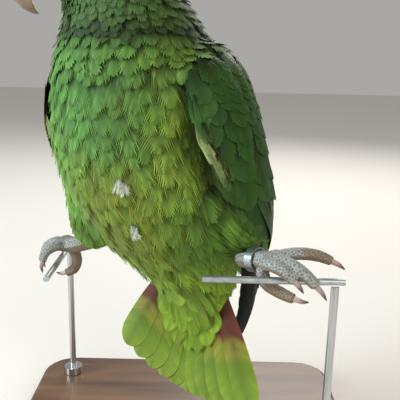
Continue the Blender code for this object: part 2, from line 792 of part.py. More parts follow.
def main():
    clear_scene()
    solids = bpy.data.collections.new("amazon_parrot")
    guides = bpy.data.collections.new("cutters")
    for collection in (solids, guides):
        bpy.context.scene.collection.children.link(collection)
    plumage = make_material("plumage", (0.16, 0.36, 0.05), 0.75)
    horn = make_material("horn", (0.30, 0.22, 0.16), 0.45)
    skin = make_material("leg_skin", (0.36, 0.38, 0.36), 0.7)
    glass = make_material("eye", (0.35, 0.10, 0.02), 0.1)
    wood = make_material("wood", (0.12, 0.06, 0.03), 0.45)
    steel = make_material("steel", (0.55, 0.57, 0.58), 0.35, 1.0)

    head_guide = build_head(solids, guides, plumage, horn, glass)
    build_body(solids, guides, plumage, head_guide)
    build_tail(solids, guides, plumage)
    build_stand(solids, guides, wood, steel)
    for side in ("left", "right"):
        foot = build_foot(side, solids, guides, skin, horn)
        cut(foot, guides.objects["thigh_guide_" + side])
        tidy(foot)
    build_leg_ring(solids, guides, steel)
    helper(guides)


main()
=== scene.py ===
import math

import bmesh
import bpy
import numpy as np
from mathutils import Matrix, Vector
from mathutils.bvhtree import BVHTree
from mathutils.kdtree import KDTree


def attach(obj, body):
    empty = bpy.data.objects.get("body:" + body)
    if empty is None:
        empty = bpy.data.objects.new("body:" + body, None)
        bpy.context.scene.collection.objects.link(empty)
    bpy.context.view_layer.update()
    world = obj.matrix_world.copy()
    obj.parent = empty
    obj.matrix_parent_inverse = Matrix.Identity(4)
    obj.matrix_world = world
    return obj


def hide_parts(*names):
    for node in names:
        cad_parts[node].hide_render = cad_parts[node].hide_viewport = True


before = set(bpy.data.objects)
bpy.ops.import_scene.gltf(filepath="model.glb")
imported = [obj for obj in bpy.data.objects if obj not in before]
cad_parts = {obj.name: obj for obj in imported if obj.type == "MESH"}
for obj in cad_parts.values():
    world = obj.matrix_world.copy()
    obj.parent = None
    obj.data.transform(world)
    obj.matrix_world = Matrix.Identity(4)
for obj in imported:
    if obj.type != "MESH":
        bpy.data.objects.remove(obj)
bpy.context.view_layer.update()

MM = 0.001
rng = np.random.default_rng(7)

# ---------------------------------------------------------------------------------------------
# Floor, light and camera. The bird stands on a plain pale floor in soft studio light, brightest
# from its own right, and the camera looks down on it a little from the front.


def plain_finish(name, colour, roughness, metallic=0.0, **more):
    """A Principled finish with plain values; returned with its nodes, its linker and its shader."""
    material = bpy.data.materials.new(name)
    material.use_nodes = True
    nodes, link = material.node_tree.nodes, material.node_tree.links.new
    shader = nodes["Principled BSDF"]
    shader.inputs["Base Color"].default_value = (*colour, 1.0)
    shader.inputs["Roughness"].default_value = roughness
    shader.inputs["Metallic"].default_value = metallic
    for socket, value in more.items():
        shader.inputs[socket.replace("_", " ")].default_value = value
    return material, nodes, link, shader


floor_finish = plain_finish("floor_paint", (0.78, 0.75, 0.71), 0.85)[0]
bpy.ops.mesh.primitive_plane_add(size=8.0, location=(0, 0, 0))
floor = bpy.context.object
floor.name = "floor"
floor.data.materials.append(floor_finish)


def area_light(name, place, target, size, power, colour):
    """A soft square lamp that faces a target."""
    lamp = bpy.data.lights.new(name, "AREA")
    lamp.size = size
    lamp.energy = power
    lamp.color = colour
    obj = bpy.data.objects.new(name, lamp)
    bpy.context.scene.collection.objects.link(obj)
    obj.location = place
    obj.rotation_euler = (Vector(target) - Vector(place)).to_track_quat("-Z", "Y").to_euler()


BREAST = (-0.02, 0.0, 0.19)
WORLD_COLOUR, WORLD_STRENGTH = (0.95, 0.93, 0.9, 1.0), 0.42
area_light("key", (-1.2, -0.35, 0.6), BREAST, 0.6, 21.0, (0.84, 0.96, 1.0))
area_light("fill", (0.75, -1.05, 0.7), BREAST, 0.9, 8.5, (1.0, 0.95, 0.86))
area_light("rim", (0.3, 1.0, 0.9), BREAST, 0.6, 9.0, (1.0, 0.97, 0.92))
world = bpy.data.worlds.new("studio")
bpy.context.scene.world = world
world.use_nodes = True
backdrop = world.node_tree.nodes["Background"]
backdrop.inputs["Color"].default_value = WORLD_COLOUR
backdrop.inputs["Strength"].default_value = WORLD_STRENGTH
bpy.context.scene.view_settings.view_transform = "Standard"

CAMERA_PLACE = Vector((0.008, -0.350, 0.246))
CAMERA_PITCH = math.radians(13.5)
CAMERA_ROLL = math.radians(1.3)
camera = bpy.data.objects.new("camera", bpy.data.cameras.new("camera"))
bpy.context.scene.collection.objects.link(camera)
camera.data.sensor_width = 36.0
camera.data.lens = 54.0
camera.data.clip_start = 0.01
tilt = Matrix.Rotation(math.radians(90) - CAMERA_PITCH, 4, "X")
camera.matrix_world = Matrix.Translation(CAMERA_PLACE) @ tilt @ Matrix.Rotation(CAMERA_ROLL, 4, "Z")
bpy.context.scene.camera = camera

# ---------------------------------------------------------------------------------------------
# Landmarks. The head's centre and its own front, left and up, the eyes, and the line up the
# middle of the body that the rows of feathers are counted round.

BODY_HEADING = math.radians(32)
HEAD_HEADING = math.radians(70)
HEAD_PITCH = math.radians(32)
BODY_FRONT = np.array((-math.sin(BODY_HEADING), -math.cos(BODY_HEADING), 0))
BODY_LEFT = np.array((math.cos(BODY_HEADING), -math.sin(BODY_HEADING), 0))
HEAD_LEVEL = np.array((-math.sin(HEAD_HEADING), -math.cos(HEAD_HEADING), 0))
HEAD_LEFT = np.array((math.cos(HEAD_HEADING), -math.sin(HEAD_HEADING), 0))
UPWARD = np.array((0.0, 0.0, 1.0))
HEAD_FRONT = HEAD_LEVEL * math.cos(HEAD_PITCH) - UPWARD * math.sin(HEAD_PITCH)
HEAD_UP = HEAD_LEVEL * math.sin(HEAD_PITCH) + UPWARD * math.cos(HEAD_PITCH)
HEAD_MIDDLE = np.array((-0.062, -0.016, 0.3005))


def corners_of(*nodes):
    """The corner points of CAD nodes as one array."""
    clouds = []
    for node in nodes:
        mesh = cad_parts[node].data
        points = np.empty(len(mesh.vertices) * 3, np.float32)
        mesh.vertices.foreach_get("co", points)
        clouds.append(points.reshape(-1, 3).astype(float))
    return np.concatenate(clouds)


def unit(vectors):
    """Vectors scaled to length 1."""
    vectors = np.asarray(vectors, float)
    return vectors / np.maximum(np.linalg.norm(vectors, axis=-1, keepdims=True), 1e-12)


def ease(low, high, value):
    """Rises smoothly from 0 at low to 1 at high."""
    t = np.clip((np.asarray(value, float) - low) / (high - low), 0.0, 1.0)
    return t * t * (3 - 2 * t)


def mix(first, second, share):
    """Two colours or vectors mixed row by row."""
    share = np.asarray(share, float)[..., None]
    return first * (1 - share) + second * share


EYES = {}
for eye in ("eye_left", "eye_right"):
    eye_corners = corners_of(eye)
    EYES[eye] = (eye_corners.min(0) + eye_corners.max(0)) / 2

SPINE_TOP, SPINE_SLICE = 0.300, 7 * MM
body_corners = corners_of("vent", "trunk", "neck")
spine_heights = np.linspace(body_corners[:, 2].min() + 6 * MM, SPINE_TOP, 22)
spine_middles = []
for height in spine_heights:
    near = body_corners[np.abs(body_corners[:, 2] - height) < SPINE_SLICE]
    spine_middles.append((near.min(0)[:2] + near.max(0)[:2]) / 2)
spine_middles = np.array(spine_middles)


def spine_at(heights):
    """The middle of the body at each height."""
    x = np.interp(heights, spine_heights, spine_middles[:, 0])
    y = np.interp(heights, spine_heights, spine_middles[:, 1])
    return np.stack((x, y, np.asarray(heights, float)), -1)


def bearing_of(points):
    """How far round the body points lie: 0 at the breast, positive towards the bird's left."""
    out = points - spine_at(points[:, 2])
    return np.arctan2(out @ BODY_LEFT, out @ BODY_FRONT)


def way_out(bearing, side=1):
    """The level direction out of the body at a bearing, mirrored to the right where side is -1."""
    return Vector(BODY_FRONT * math.cos(bearing) + BODY_LEFT * math.sin(bearing) * side)


def head_place(points):
    """Points in the head's own forward, sideways and upward millimetres."""
    out = (points - HEAD_MIDDLE) / MM
    return out @ HEAD_FRONT, out @ HEAD_LEFT, out @ HEAD_UP


# ---------------------------------------------------------------------------------------------
# Markings. One rule gives the plumage its colour from the place on the bird, and the skin and
# every feather ask it, so both carry the same markings. The rule also paints some light and shade:
# painted shade in the neck's crease, a neck darker on the side away from the key lamp, and painted
# light that lifts the olive patch beside the left wing.

GREEN = np.array((0.074, 0.205, 0.037))
BREAST_GREEN = np.array((0.066, 0.150, 0.024))
OLIVE_GREEN = np.array((0.135, 0.220, 0.024))
FLANK_GREEN = np.array((0.120, 0.260, 0.044))
BELLY_GREEN = np.array((0.130, 0.180, 0.018))
VENT_GREEN = np.array((0.170, 0.285, 0.026))
NECK_GREEN = np.array((0.040, 0.085, 0.022))
BACK_GREEN = np.array((0.034, 0.090, 0.016))
THIGH_GREEN = np.array((0.078, 0.170, 0.018))
CROWN_YELLOW = np.array((0.720, 0.470, 0.030))
BROW_BLUE = np.array((0.110, 0.210, 0.360))
FRONT_EDGE = (1.35, 1.95)  # radians round from the breast, where the front turns into the back
NECK_EDGE, FLANK_EDGE, BELLY_EDGE = (0.246, 0.258), (0.200, 0.222), (0.172, 0.205)
THIGH_EDGE, VENT_EDGE = (0.150, 0.190), (0.112, 0.140)
CREASE_SHADE_HEIGHT, CREASE_SHADE_BREADTH = 0.2575, 0.0035


def plumage_colour(points):
    """The plumage's colour at places on the bird."""
    bearing = bearing_of(points)
    turn = np.abs(bearing)
    height = points[:, 2]
    front = 1 - ease(*FRONT_EDGE, turn)
    colour = mix(GREEN, BREAST_GREEN, ease(-0.2, 0.5, bearing))
    # An olive-yellow patch low on the bird's left beside the wing: partly the flank's own olive-yellow,
    # partly painted light that lifts the flank out of the shade it lies in there.
    olive_and_painted_light = ease(0.55, 0.95, bearing) * ease(0.165, 0.185, height)
    colour = mix(colour, OLIVE_GREEN, olive_and_painted_light * (1 - 0.6 * ease(0.205, 0.235, height)))
    colour = mix(np.tile(BACK_GREEN, (len(points), 1)), colour, front)
    belly = (1 - ease(*BELLY_EDGE, height)) * (1 - ease(0.5, 1.25, turn))
    colour = mix(colour, BELLY_GREEN, belly)
    colour = mix(colour, THIGH_GREEN, (1 - ease(*THIGH_EDGE, height)) * front * (1 - belly))
    colour = mix(colour, VENT_GREEN, (1 - ease(*VENT_EDGE, height)) * front)
    low_flank = (1 - ease(-0.9, -0.3, bearing)) * (1 - ease(*FLANK_EDGE, height))
    colour = mix(colour, FLANK_GREEN, low_flank * ease(0.148, 0.162, height) * front)
    # The neck's dusky green: partly the neck feathers' own dusky colour, partly painted shade, laid on
    # thinner on the bird's right where the key lamp falls and fuller on the front and the left.
    dusk_and_shade = 0.5 + 0.3 * ease(-0.7, 0.0, bearing)
    colour = mix(colour, NECK_GREEN, dusk_and_shade * ease(*NECK_EDGE, height))
    # Painted shade: a dark band round the front of the neck, in the crease under the head where shade
    # falls.
    crease_shade = np.exp(-(((height - CREASE_SHADE_HEIGHT) / CREASE_SHADE_BREADTH) ** 2))
    colour = mix(colour, NECK_GREEN * 0.45, front * crease_shade)
    forward, sideways, upward = head_place(points)
    on_head = 1 - ease(27, 34, np.linalg.norm(points - HEAD_MIDDLE, axis=1) / MM)
    on_head *= ease(-20, -14, upward)
    colour = mix(colour, GREEN * 0.9, on_head)
    crown = on_head * ease(6, 12, upward) * ease(-8, 2, forward)
    cheek = on_head * (1 - ease(-4, 2, upward)) * ease(-16, -10, upward) * ease(3, 9, forward)
    cheek *= ease(8, 13, np.abs(sideways))
    colour = mix(colour, CROWN_YELLOW, np.maximum(crown, cheek))
    brow = on_head * ease(10.5, 14, forward) * ease(-3, 1.5, upward)
    brow *= 1 - ease(11.5, 15.5, upward - 0.22 * forward)
    return mix(colour, BROW_BLUE, brow)


# ---------------------------------------------------------------------------------------------
# Skin. One soft body under all the feathers, from the tail's root to the bill: the solids of the
# flesh are swollen until they merge, wrapped as one, and sunk by the depth of the plumage.

FLESH = ("trunk", "vent", "neck", "head", "thigh_left", "thigh_right", "wing_left", "wing_right")
WING_SKIN_END = 0.130
SKIN_GRAIN = 1.8 * MM
WING_SWELL, BODY_SWELL = 1.3 * MM, 0.45 * MM
SKIN_SHADE = 0.45


def plumage_depth(points):
    """How deep the feathers lie over the skin at places: thin on the face, none at the bill."""
    depth = 2.0 + 2.2 * ease(24, 44, np.linalg.norm(points - HEAD_MIDDLE, axis=1) / MM)
    bill_root = HEAD_MIDDLE + (HEAD_FRONT * 21 - HEAD_UP * 3) * MM
    depth *= ease(11, 17, np.linalg.norm(points - bill_root, axis=1) / MM)
    for middle in EYES.values():
        near_eye = 1 - ease(6, 9.5, np.linalg.norm(points - middle, axis=1) / MM)
        depth = depth * (1 - near_eye) + 0.9 * near_eye
    return depth * MM


def rows_of(collection, field):
    """A vector field of every item of a mesh's collection, as an array."""
    rows = np.empty(len(collection) * 3, np.float32)
    collection.foreach_get(field, rows)
    return rows.reshape(-1, 3).astype(float)


def points_of(mesh):
    """A mesh's points as an array."""
    return rows_of(mesh.vertices, "co")


def normals_of(mesh):
    """The outward directions at a mesh's points as an array."""
    return rows_of(mesh.vertex_normals, "vector")


def move_points(mesh, points):
    """Puts a mesh's points in new places."""
    mesh.vertices.foreach_set("co", points.astype(np.float32).ravel())
    mesh.update()


def smoothing(obj, name, steps):
    """Adds a smoothing pass to an object."""
    soft = obj.modifiers.new(name, "SMOOTH")
    soft.factor = 0.5
    soft.iterations = steps


def wrapping(obj, name, grain):
    """Adds a pass that rebuilds an object as one closed surface of even faces."""
    wrap = obj.modifiers.new(name, "REMESH")
    wrap.mode = "VOXEL"
    wrap.voxel_size = grain


def settle(obj):
    """Replaces an object's mesh by its mesh as modified, and drops the modifiers."""
    graph = bpy.context.evaluated_depsgraph_get()
    made = bpy.data.meshes.new_from_object(obj.evaluated_get(graph), depsgraph=graph)
    obj.modifiers.clear()
    obj.data = made


def new_object(name, mesh):
    """Links a mesh into the scene as an object."""
    obj = bpy.data.objects.new(name, mesh)
    bpy.context.scene.collection.objects.link(obj)
    return obj


swollen = bmesh.new()
for node in FLESH:
    part = bmesh.new()
    part.from_mesh(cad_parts[node].data)
    bmesh.ops.remove_doubles(part, verts=part.verts, dist=0.02 * MM)
    swell = BODY_SWELL
    if node.startswith("wing"):
        swell = WING_SWELL
        parts = part.verts[:] + part.edges[:] + part.faces[:]
        end = (0, 0, WING_SKIN_END)
        bmesh.ops.bisect_plane(part, geom=parts, plane_co=end, plane_no=(0, 0, 1), clear_inner=True)
        bmesh.ops.holes_fill(part, edges=part.edges)
    part.normal_update()
    moved = [vert.co + vert.normal * swell for vert in part.verts]
    for vert, place in zip(part.verts, moved):
        vert.co = place
    piece = bpy.data.meshes.new(node + "_swollen")
    part.to_mesh(piece)
    part.free()
    swollen.from_mesh(piece)
    bpy.data.meshes.remove(piece)
skin_mesh = bpy.data.meshes.new("skin")
swollen.to_mesh(skin_mesh)
swollen.free()
skin = new_object("skin", skin_mesh)
wrapping(skin, "wrap", SKIN_GRAIN)
smoothing(skin, "relax", 6)
settle(skin)
skin_points = points_of(skin.data)
sinking = plumage_depth(skin_points) + BODY_SWELL
move_points(skin.data, skin_points - normals_of(skin.data) * sinking[:, None])
smoothing(skin, "even", 3)
settle(skin)
skin.data.shade_smooth()
skin_under = BVHTree.FromObject(skin, bpy.context.evaluated_depsgraph_get())


def paint(obj, colours):
    """Stores a colour for each point of a mesh, for its finish to read."""
    layer = obj.data.color_attributes.new("tint", "FLOAT_COLOR", "POINT")
    rows = np.ones((len(obj.data.vertices), 4), np.float32)
    rows[:, :3] = colours
    layer.data.foreach_set("color", rows.ravel())


def dress(mesh, finish):
    """Gives a whole mesh one finish."""
    mesh.materials.clear()
    mesh.materials.append(finish)


def stored(nodes, name):
    """A node that reads what is stored with each point of a mesh."""
    node = nodes.new("ShaderNodeAttribute")
    node.attribute_name = name
    return node


def noise(nodes, link, scale, detail=3.0, stretch=(1, 1, 1)):
    """A noise over the object's own coordinates."""
    coords = nodes.new("ShaderNodeTexCoord")
    stretched = nodes.new("ShaderNodeVectorMath")
    stretched.operation = "MULTIPLY"
    stretched.inputs[1].default_value = stretch
    link(coords.outputs["Object"], stretched.inputs[0])
    made = nodes.new("ShaderNodeTexNoise")
    made.inputs["Scale"].default_value = scale
    made.inputs["Detail"].default_value = detail
    link(stretched.outputs["Vector"], made.inputs["Vector"])
    return made.outputs["Fac"]


def add_bump(nodes, link, shader, height, strength, distance):
    """Raises a finish's surface by a height value."""
    bump = nodes.new("ShaderNodeBump")
    bump.inputs["Strength"].default_value = strength
    bump.inputs["Distance"].default_value = distance
    link(height, bump.inputs["Height"])
    link(bump.outputs["Normal"], shader.inputs["Normal"])


def painted_finish(name, colour, roughness, grain, strength, depth, **more):
    """A finish that shows the colour stored with a mesh, over a fine noisy grain."""
    finish, nodes, link, shader = plain_finish(name, colour, roughness, **more)
    link(stored(nodes, "tint").outputs["Color"], shader.inputs["Base Color"])
    add_bump(nodes, link, shader, noise(nodes, link, *grain), strength, depth)
    return finish


# Painted shade: the skin carries the plumage's colour at under half its brightness, so that where it
# shows between the feathers it reads as the shade deep in the plumage.
paint(skin, plumage_colour(points_of(skin.data)) * SKIN_SHADE)
dress(skin.data, painted_finish("skin", (0.1, 0.2, 0.05), 0.8, (4500, 2.0), 0.4, 0.3 * MM))
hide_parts(*FLESH)
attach(skin, "root")

# ---------------------------------------------------------------------------------------------
# Feather making. A vane is a shaft with barbs that lie side by side and part near their tips into
# a fringe. Each feather is laid on a small net of points that runs down the skin from its root
# and rises off it evenly, so that every row covers the roots of the next like shingles.

NET_ROWS = 5
TIP_HIGHLIGHT = (1.2, 0.7, 0.0)
RIBS_PER_BARB = 2
PATCH_HALF_WIDTH, PATCH_LENGTH = 0.0014, 0.0028


def vane(barbs, length_ratio, widest=0.72, base=0.35, split=0.8, ragged=0.05, slant=1.1, rings=1):
    """A flat feather, u from -1 to 1 and v from root 0 to tip 1, with its faces and barb marks."""
    low = np.linspace(0.05, widest, 40)
    turn = np.linspace(0, math.pi / 2, 60)
    rim_v = np.concatenate((low, widest + (1 - widest) * np.sin(turn)))
    rim_u = np.concatenate((base + (1 - base) * np.sin(low / widest * math.pi / 2), np.cos(turn)))
    run = np.concatenate(((0,), np.cumsum(np.hypot(np.diff(rim_u), np.diff(rim_v) * length_ratio))))
    at = np.linspace(0, run[-1], barbs + 1)
    rim = np.stack((np.interp(at, run, rim_u), np.interp(at, run, rim_v)), 1)
    start = np.clip(rim[:, 1] - rim[:, 0] * slant / length_ratio, 0, 0.96)
    start += np.linspace(0, 0.03, barbs + 1)
    shaft = np.stack((np.zeros(barbs + 1), start), 1)
    flat, reach, comb = [shaft], [np.zeros(barbs + 1)], [np.arange(barbs + 1.0)]
    sizes, corners = [], []
    count = barbs + 1
    for side in (1, -1):
        inner = np.arange(barbs + 1)
        for share in np.linspace(0, split, rings + 1)[1:]:
            ring = shaft + (rim - shaft) * share
            ring[:, 1] -= 0.5 * share * (1 - share) * rim[:, 0] * slant / length_ratio
            flat.append(ring * (side, 1))
            reach.append(np.full(barbs + 1, share))
            comb.append(np.arange(barbs + 1.0))
            outer = count + np.arange(barbs + 1)
            count += barbs + 1
            for i in range(barbs):
                face = (inner[i], outer[i], outer[i + 1], inner[i + 1])
                corners.extend(face if side > 0 else face[::-1])
                sizes.append(4)
            inner = outer
        if split == 1:
            continue
        tips = (rim[1:] + rim[:-1]) / 2
        roots = (shaft[1:] + shaft[:-1]) / 2
        tips = roots + (tips - roots) * rng.normal(1, ragged, (barbs, 1))
        flat.append(tips * (side, 1))
        reach.append(np.ones(barbs))
        comb.append(np.arange(barbs) + 0.5)
        for i in range(barbs):
            face = (inner[i], count + i, inner[i + 1])
            corners.extend(face if side > 0 else face[::-1])
            sizes.append(3)
        count += barbs
    flat = np.concatenate(flat)
    u, v = flat[:, 0], flat[:, 1]
    across = np.stack((u * (u - 1) / 2, 1 - u * u, u * (u + 1) / 2), 1)
    position = np.clip(v, 0, 1) * (NET_ROWS - 1)
    cell = np.minimum(position.astype(int), NET_ROWS - 2)
    t = position - cell
    before, here = -t + 2 * t**2 - t**3, 2 - 5 * t**2 + 3 * t**3
    beyond, after = t + 4 * t**2 - 3 * t**3, t**3 - t**2
    cubic = np.stack((before, here, beyond, after), 1)
    along = np.zeros((len(v), NET_ROWS + 2))
    for k in range(4):
        along[np.arange(len(v)), cell + k] += cubic[:, k] / 2
    along[:, 1] += 2 * along[:, 0]
    along[:, 2] -= along[:, 0]
    along[:, NET_ROWS] += 2 * along[:, NET_ROWS + 1]
    along[:, NET_ROWS - 1] -= along[:, NET_ROWS + 1]
    comb = np.concatenate(comb)
    weights = (along[:, 1:-1, None] * across[:, None, :]).reshape(len(v), NET_ROWS * 3)
    return {
        "weights": weights,
        "u": u,
        "v": v,
        "reach": np.concatenate(reach),
        "comb": comb,
        "barb": comb.astype(int) + np.where(u < 0, barbs + 1, 0),
        "sizes": np.array(sizes),
        "corners": np.array(corners),
    }


def lay_net(surface, root, flow, width, length, low, high, camber=0.10, curl=0.0, twist=0.0):
    """A feather's net, laid down a surface from its root, with the direction out there and the root.

    flow(place) gives the way the feather lies."""
    place, normal, _, _ = surface.find_nearest(Vector(root))
    net = []
    out = normal
    for k in range(NET_ROWS):
        share = k / (NET_ROWS - 1)
        way = Vector(flow(place))
        way = (way - normal * way.dot(normal)).normalized()
        across = way.cross(normal)
        way = way * math.cos(twist) + across * math.sin(twist)
        across = way.cross(normal)
        height = low + (high - low) * share + curl * share**4
        reach = width / 2 * (0.6 + 0.4 * min(1.0, share * 1.6))
        for side in (-1, 0, 1):
            spot = place
            if side:
                flat = place + across * reach * side
                spot = surface.find_nearest(flat)[0] * 0.75 + flat * 0.25
            drop = abs(side) * camber * width * (0.4 + 0.6 * share)
            net.append(spot + normal * (height - drop))
        place, normal_here, _, _ = surface.find_nearest(place + way * length / (NET_ROWS - 1))
        normal = (normal * 0.35 + normal_here * 0.65).normalized()
    return net, out, root


def coat_piece(name, beds, material, ruffle=0.20 * MM, streaks=0.42, root_shade=0.12):
    """Joins beds of feathers, each (vane, nets, normals, colours, patch places), into one mesh.

    Each barb is raised or sunk by ruffle and lightened or darkened by streaks, at random."""
    points, tints, reaches, combs, patches, sizes, corners = [], [], [], [], [], [], []
    count = 0
    for shape, nets, normals, colours, places in beds:
        nets, normals, colours, places = map(np.asarray, (nets, normals, colours, places))
        laid = np.einsum("pn,fnc->fpc", shape["weights"], nets)
        streak = rng.normal(0, 1, (len(nets), shape["barb"].max() + 1))[:, shape["barb"]]
        laid += normals[:, None, :] * (shape["reach"] * streak * ruffle)[..., None]
        # Painted shade: each feather darkens towards its root, where the feathers above cover it, down to
        # root_shade of its colour; it is also a little darker along its shaft.
        shade = root_shade + (1 - root_shade) * ease(0.25, 0.78, shape["v"])
        shade = shade * (1 - 0.15 * np.exp(-((shape["u"] / 0.10) ** 2)))
        if colours.ndim == 2:
            colours = colours[:, None, :]
        tint = colours * shade[None, :, None]
        # Painted highlight: the barbs lighten towards their tips, the fringe with a yellow cast, as where
        # their tips catch the light; the streaks lighten or darken single barbs at random.
        tint = tint * np.clip(1 + shape["reach"] * (streaks * streak + 0.15), 0.35, 2.0)[..., None]
        tint = tint * (1 + ease(0.55, 1.0, shape["reach"])[:, None] * streaks * np.array(TIP_HIGHLIGHT))
        patch = np.stack((shape["u"] * PATCH_HALF_WIDTH, (shape["v"] - 0.5) * PATCH_LENGTH), 1)
        total = len(shape["v"])
        points.append(laid.reshape(-1, 3))
        tints.append(tint.reshape(-1, 3))
        reaches.append(np.tile(shape["reach"], len(nets)))
        combs.append(np.tile(shape["comb"], len(nets)))
        patches.append((places[:, None, :] + patch[None]).reshape(-1, 2))
        sizes.append(np.tile(shape["sizes"], len(nets)))
        starts = count + np.arange(len(nets)) * total
        corners.append((starts[:, None] + shape["corners"][None]).ravel())
        count += len(nets) * total
    corners = np.concatenate(corners).astype(np.int32)
    sizes = np.concatenate(sizes)
    mesh = bpy.data.meshes.new(name)
    mesh.vertices.add(count)
    mesh.vertices.foreach_set("co", np.concatenate(points).astype(np.float32).ravel())
    mesh.loops.add(len(corners))
    mesh.loops.foreach_set("vertex_index", corners)
    mesh.polygons.add(len(sizes))
    mesh.polygons.foreach_set("loop_start", (np.cumsum(sizes) - sizes).astype(np.int32))
    mesh.update(calc_edges=True)
    mesh.shade_smooth()
    bake = mesh.uv_layers.new(name="OFBake")
    bake.data.foreach_set("uv", np.concatenate(patches)[corners].astype(np.float32).ravel())
    for title, values in (("reach", reaches), ("comb", combs)):
        mesh.attributes.new(title, "FLOAT", "POINT")
        mesh.attributes[title].data.foreach_set("value", np.concatenate(values).astype(np.float32))
    piece = new_object(name, mesh)
    paint(piece, np.concatenate(tints))
    mesh.materials.append(material)
    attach(piece, "root")
    return piece


def feather_finish(name, roughness, barb_depth, between=0.75, sheen=0.05, gloss=0.22):
    """The feathers' finish: the stored colour with painted shade between the barbs, the barbs as fine
    ribs.
    """
    material, nodes, link, shader = plain_finish(
        name, (0.1, 0.25, 0.05), roughness,
        Sheen_Weight=sheen, Sheen_Roughness=0.5, Specular_IOR_Level=gloss,
    )
    wave = nodes.new("ShaderNodeMath")
    wave.operation = "MULTIPLY"
    wave.inputs[1].default_value = RIBS_PER_BARB * 2 * math.pi
    link(stored(nodes, "comb").outputs["Fac"], wave.inputs[0])
    rib = nodes.new("ShaderNodeMath")
    rib.operation = "SINE"
    link(wave.outputs[0], rib.inputs[0])
    # Painted shade between the barbs: the colour darkens down to the between value in the grooves of the
    # ribs.
    groove_shade = nodes.new("ShaderNodeMapRange")
    groove_shade.inputs["From Min"].default_value = -1
    groove_shade.inputs["To Min"].default_value = between
    groove_shade.inputs["To Max"].default_value = 1.1
    link(rib.outputs[0], groove_shade.inputs["Value"])
    shade = nodes.new("ShaderNodeVectorMath")
    shade.operation = "SCALE"
    link(stored(nodes, "tint").outputs["Color"], shade.inputs[0])
    link(groove_shade.outputs["Result"], shade.inputs["Scale"])
    link(shade.outputs["Vector"], shader.inputs["Base Color"])
    add_bump(nodes, link, shader, rib.outputs[0], 0.6, barb_depth)
    return material


# ---------------------------------------------------------------------------------------------
# Body feathers. Broad rounded contour feathers in staggered rows round the body, wide and close on
# the breast and back, longer and looser on the belly, smooth at the vent and small on the neck.

ROW_TOP = 0.291
ROW_END = 0.078
FINE_EDGE = (0.230, 0.272)  # heights over which the feathers shrink towards the neck
LOWER_EDGE, SMOOTH_EDGE, LAST_ROWS_EDGE = (0.155, 0.195), (0.118, 0.140), (0.118, 0.135)
WING_COVER_TOP, SHOULDER_FOOT = 0.2515, 0.238
BACK_BEARING = 1.7
HEAD_REACH = 31 * MM
THIGHS = {
    "thigh_left": (np.array((0.014, -0.025, 0.182)), np.array((0.040, -0.034, 0.144))),
    "thigh_right": (np.array((-0.052, 0.006, 0.176)), np.array((-0.060, 0.021, 0.126))),
}


def tree_of(node):
    """A CAD node's surface for laying feathers on and for casting rays at."""
    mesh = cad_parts[node].data
    return BVHTree.FromPolygons([v.co for v in mesh.vertices], [p.vertices for p in mesh.polygons])


wing_outers = [tree_of("wing_left"), tree_of("wing_right")]
thigh_outers = {name: tree_of(name) for name in THIGHS}


def body_flow(place):
    """The way the body's feathers lie: back from the bill over the head, then down the body."""
    spine = spine_at(np.array((place[2] - 6 * MM, place[2] + 6 * MM)))
    down = unit(spine[0] - spine[1])
    out = (np.array(place) - HEAD_MIDDLE) / MM
    on_head = float((1 - ease(24, 36, np.linalg.norm(out))) * ease(-26, -8, out @ HEAD_FRONT))
    way = down * (1 - on_head) - HEAD_FRONT * on_head
    for root, end in THIGHS.values():
        axis = end - root
        share = float(np.clip((np.array(place) - root) @ axis / (axis @ axis), 0, 1))
        gap = np.linalg.norm(np.array(place) - root - axis * share) / MM
        near = float(1 - ease(20, 30, gap)) * min(1.0, share * 2.5)
        way = way * (1 - near) + unit(axis) * near
    return way


def body_patch(points):
    """Places on the unwrap of the body: bearing across, height up."""
    bearing = bearing_of(points)
    round_body = 0.5 + bearing / (2 * math.pi) * 0.98
    return np.stack((round_body, 0.02 + (points[:, 2] - 0.06) / 0.27 * 0.96), 1)


def under_cover(outers, middle, way, reach, over=-1 * MM):
    """True where one of the surfaces lies outside a point on the same ray from the spine."""
    start = middle + way * 0.2
    for surface in outers:
        hit = surface.ray_cast(start, -way, 0.2)
        if hit[0] is not None and (hit[0] - middle).dot(way) > reach + over:
            return True
    return False


height = ROW_TOP
row = 0
roots = []
while height > ROW_END:
    fineness = float(ease(*FINE_EDGE, height))
    middle = Vector(spine_at(height))
    hits = []
    for bearing in np.linspace(-math.pi, math.pi, 181)[:-1]:
        way = way_out(bearing)
        hit = skin_under.ray_cast(middle + way * 0.2, -way, 0.2)
        if hit[0] is None:
            continue
        reach = (hit[0] - middle).dot(way)
        over = (-1 if height < SHOULDER_FOOT else 3) * MM
        winged = height < WING_COVER_TOP and under_cover(wing_outers, middle, way, reach, over)
        thighed = under_cover(thigh_outers.values(), middle, way, reach)
        hits.append((hit[0], winged or thighed))
    run = np.concatenate(((0,), np.cumsum([(a[0] - b[0]).length for a, b in zip(hits[1:], hits)])))
    spacing = (10.4 * (1 - fineness) + 4.6 * fineness) * MM
    for at in np.arange(spacing * (0.5 if row % 2 else 0.0), run[-1], spacing):
        k = int(np.searchsorted(run, at + rng.normal(0, 0.12) * spacing))
        if k < len(hits) and not hits[k][1]:
            roots.append(np.array(hits[k][0]) + (0, 0, rng.normal(0, 0.10) * spacing))
    low_rows = float(1 - ease(*LAST_ROWS_EDGE, height))
    height -= (7.4 * (1 - fineness) + 3.6 * fineness + 4.0 * low_rows) * MM
    row += 1

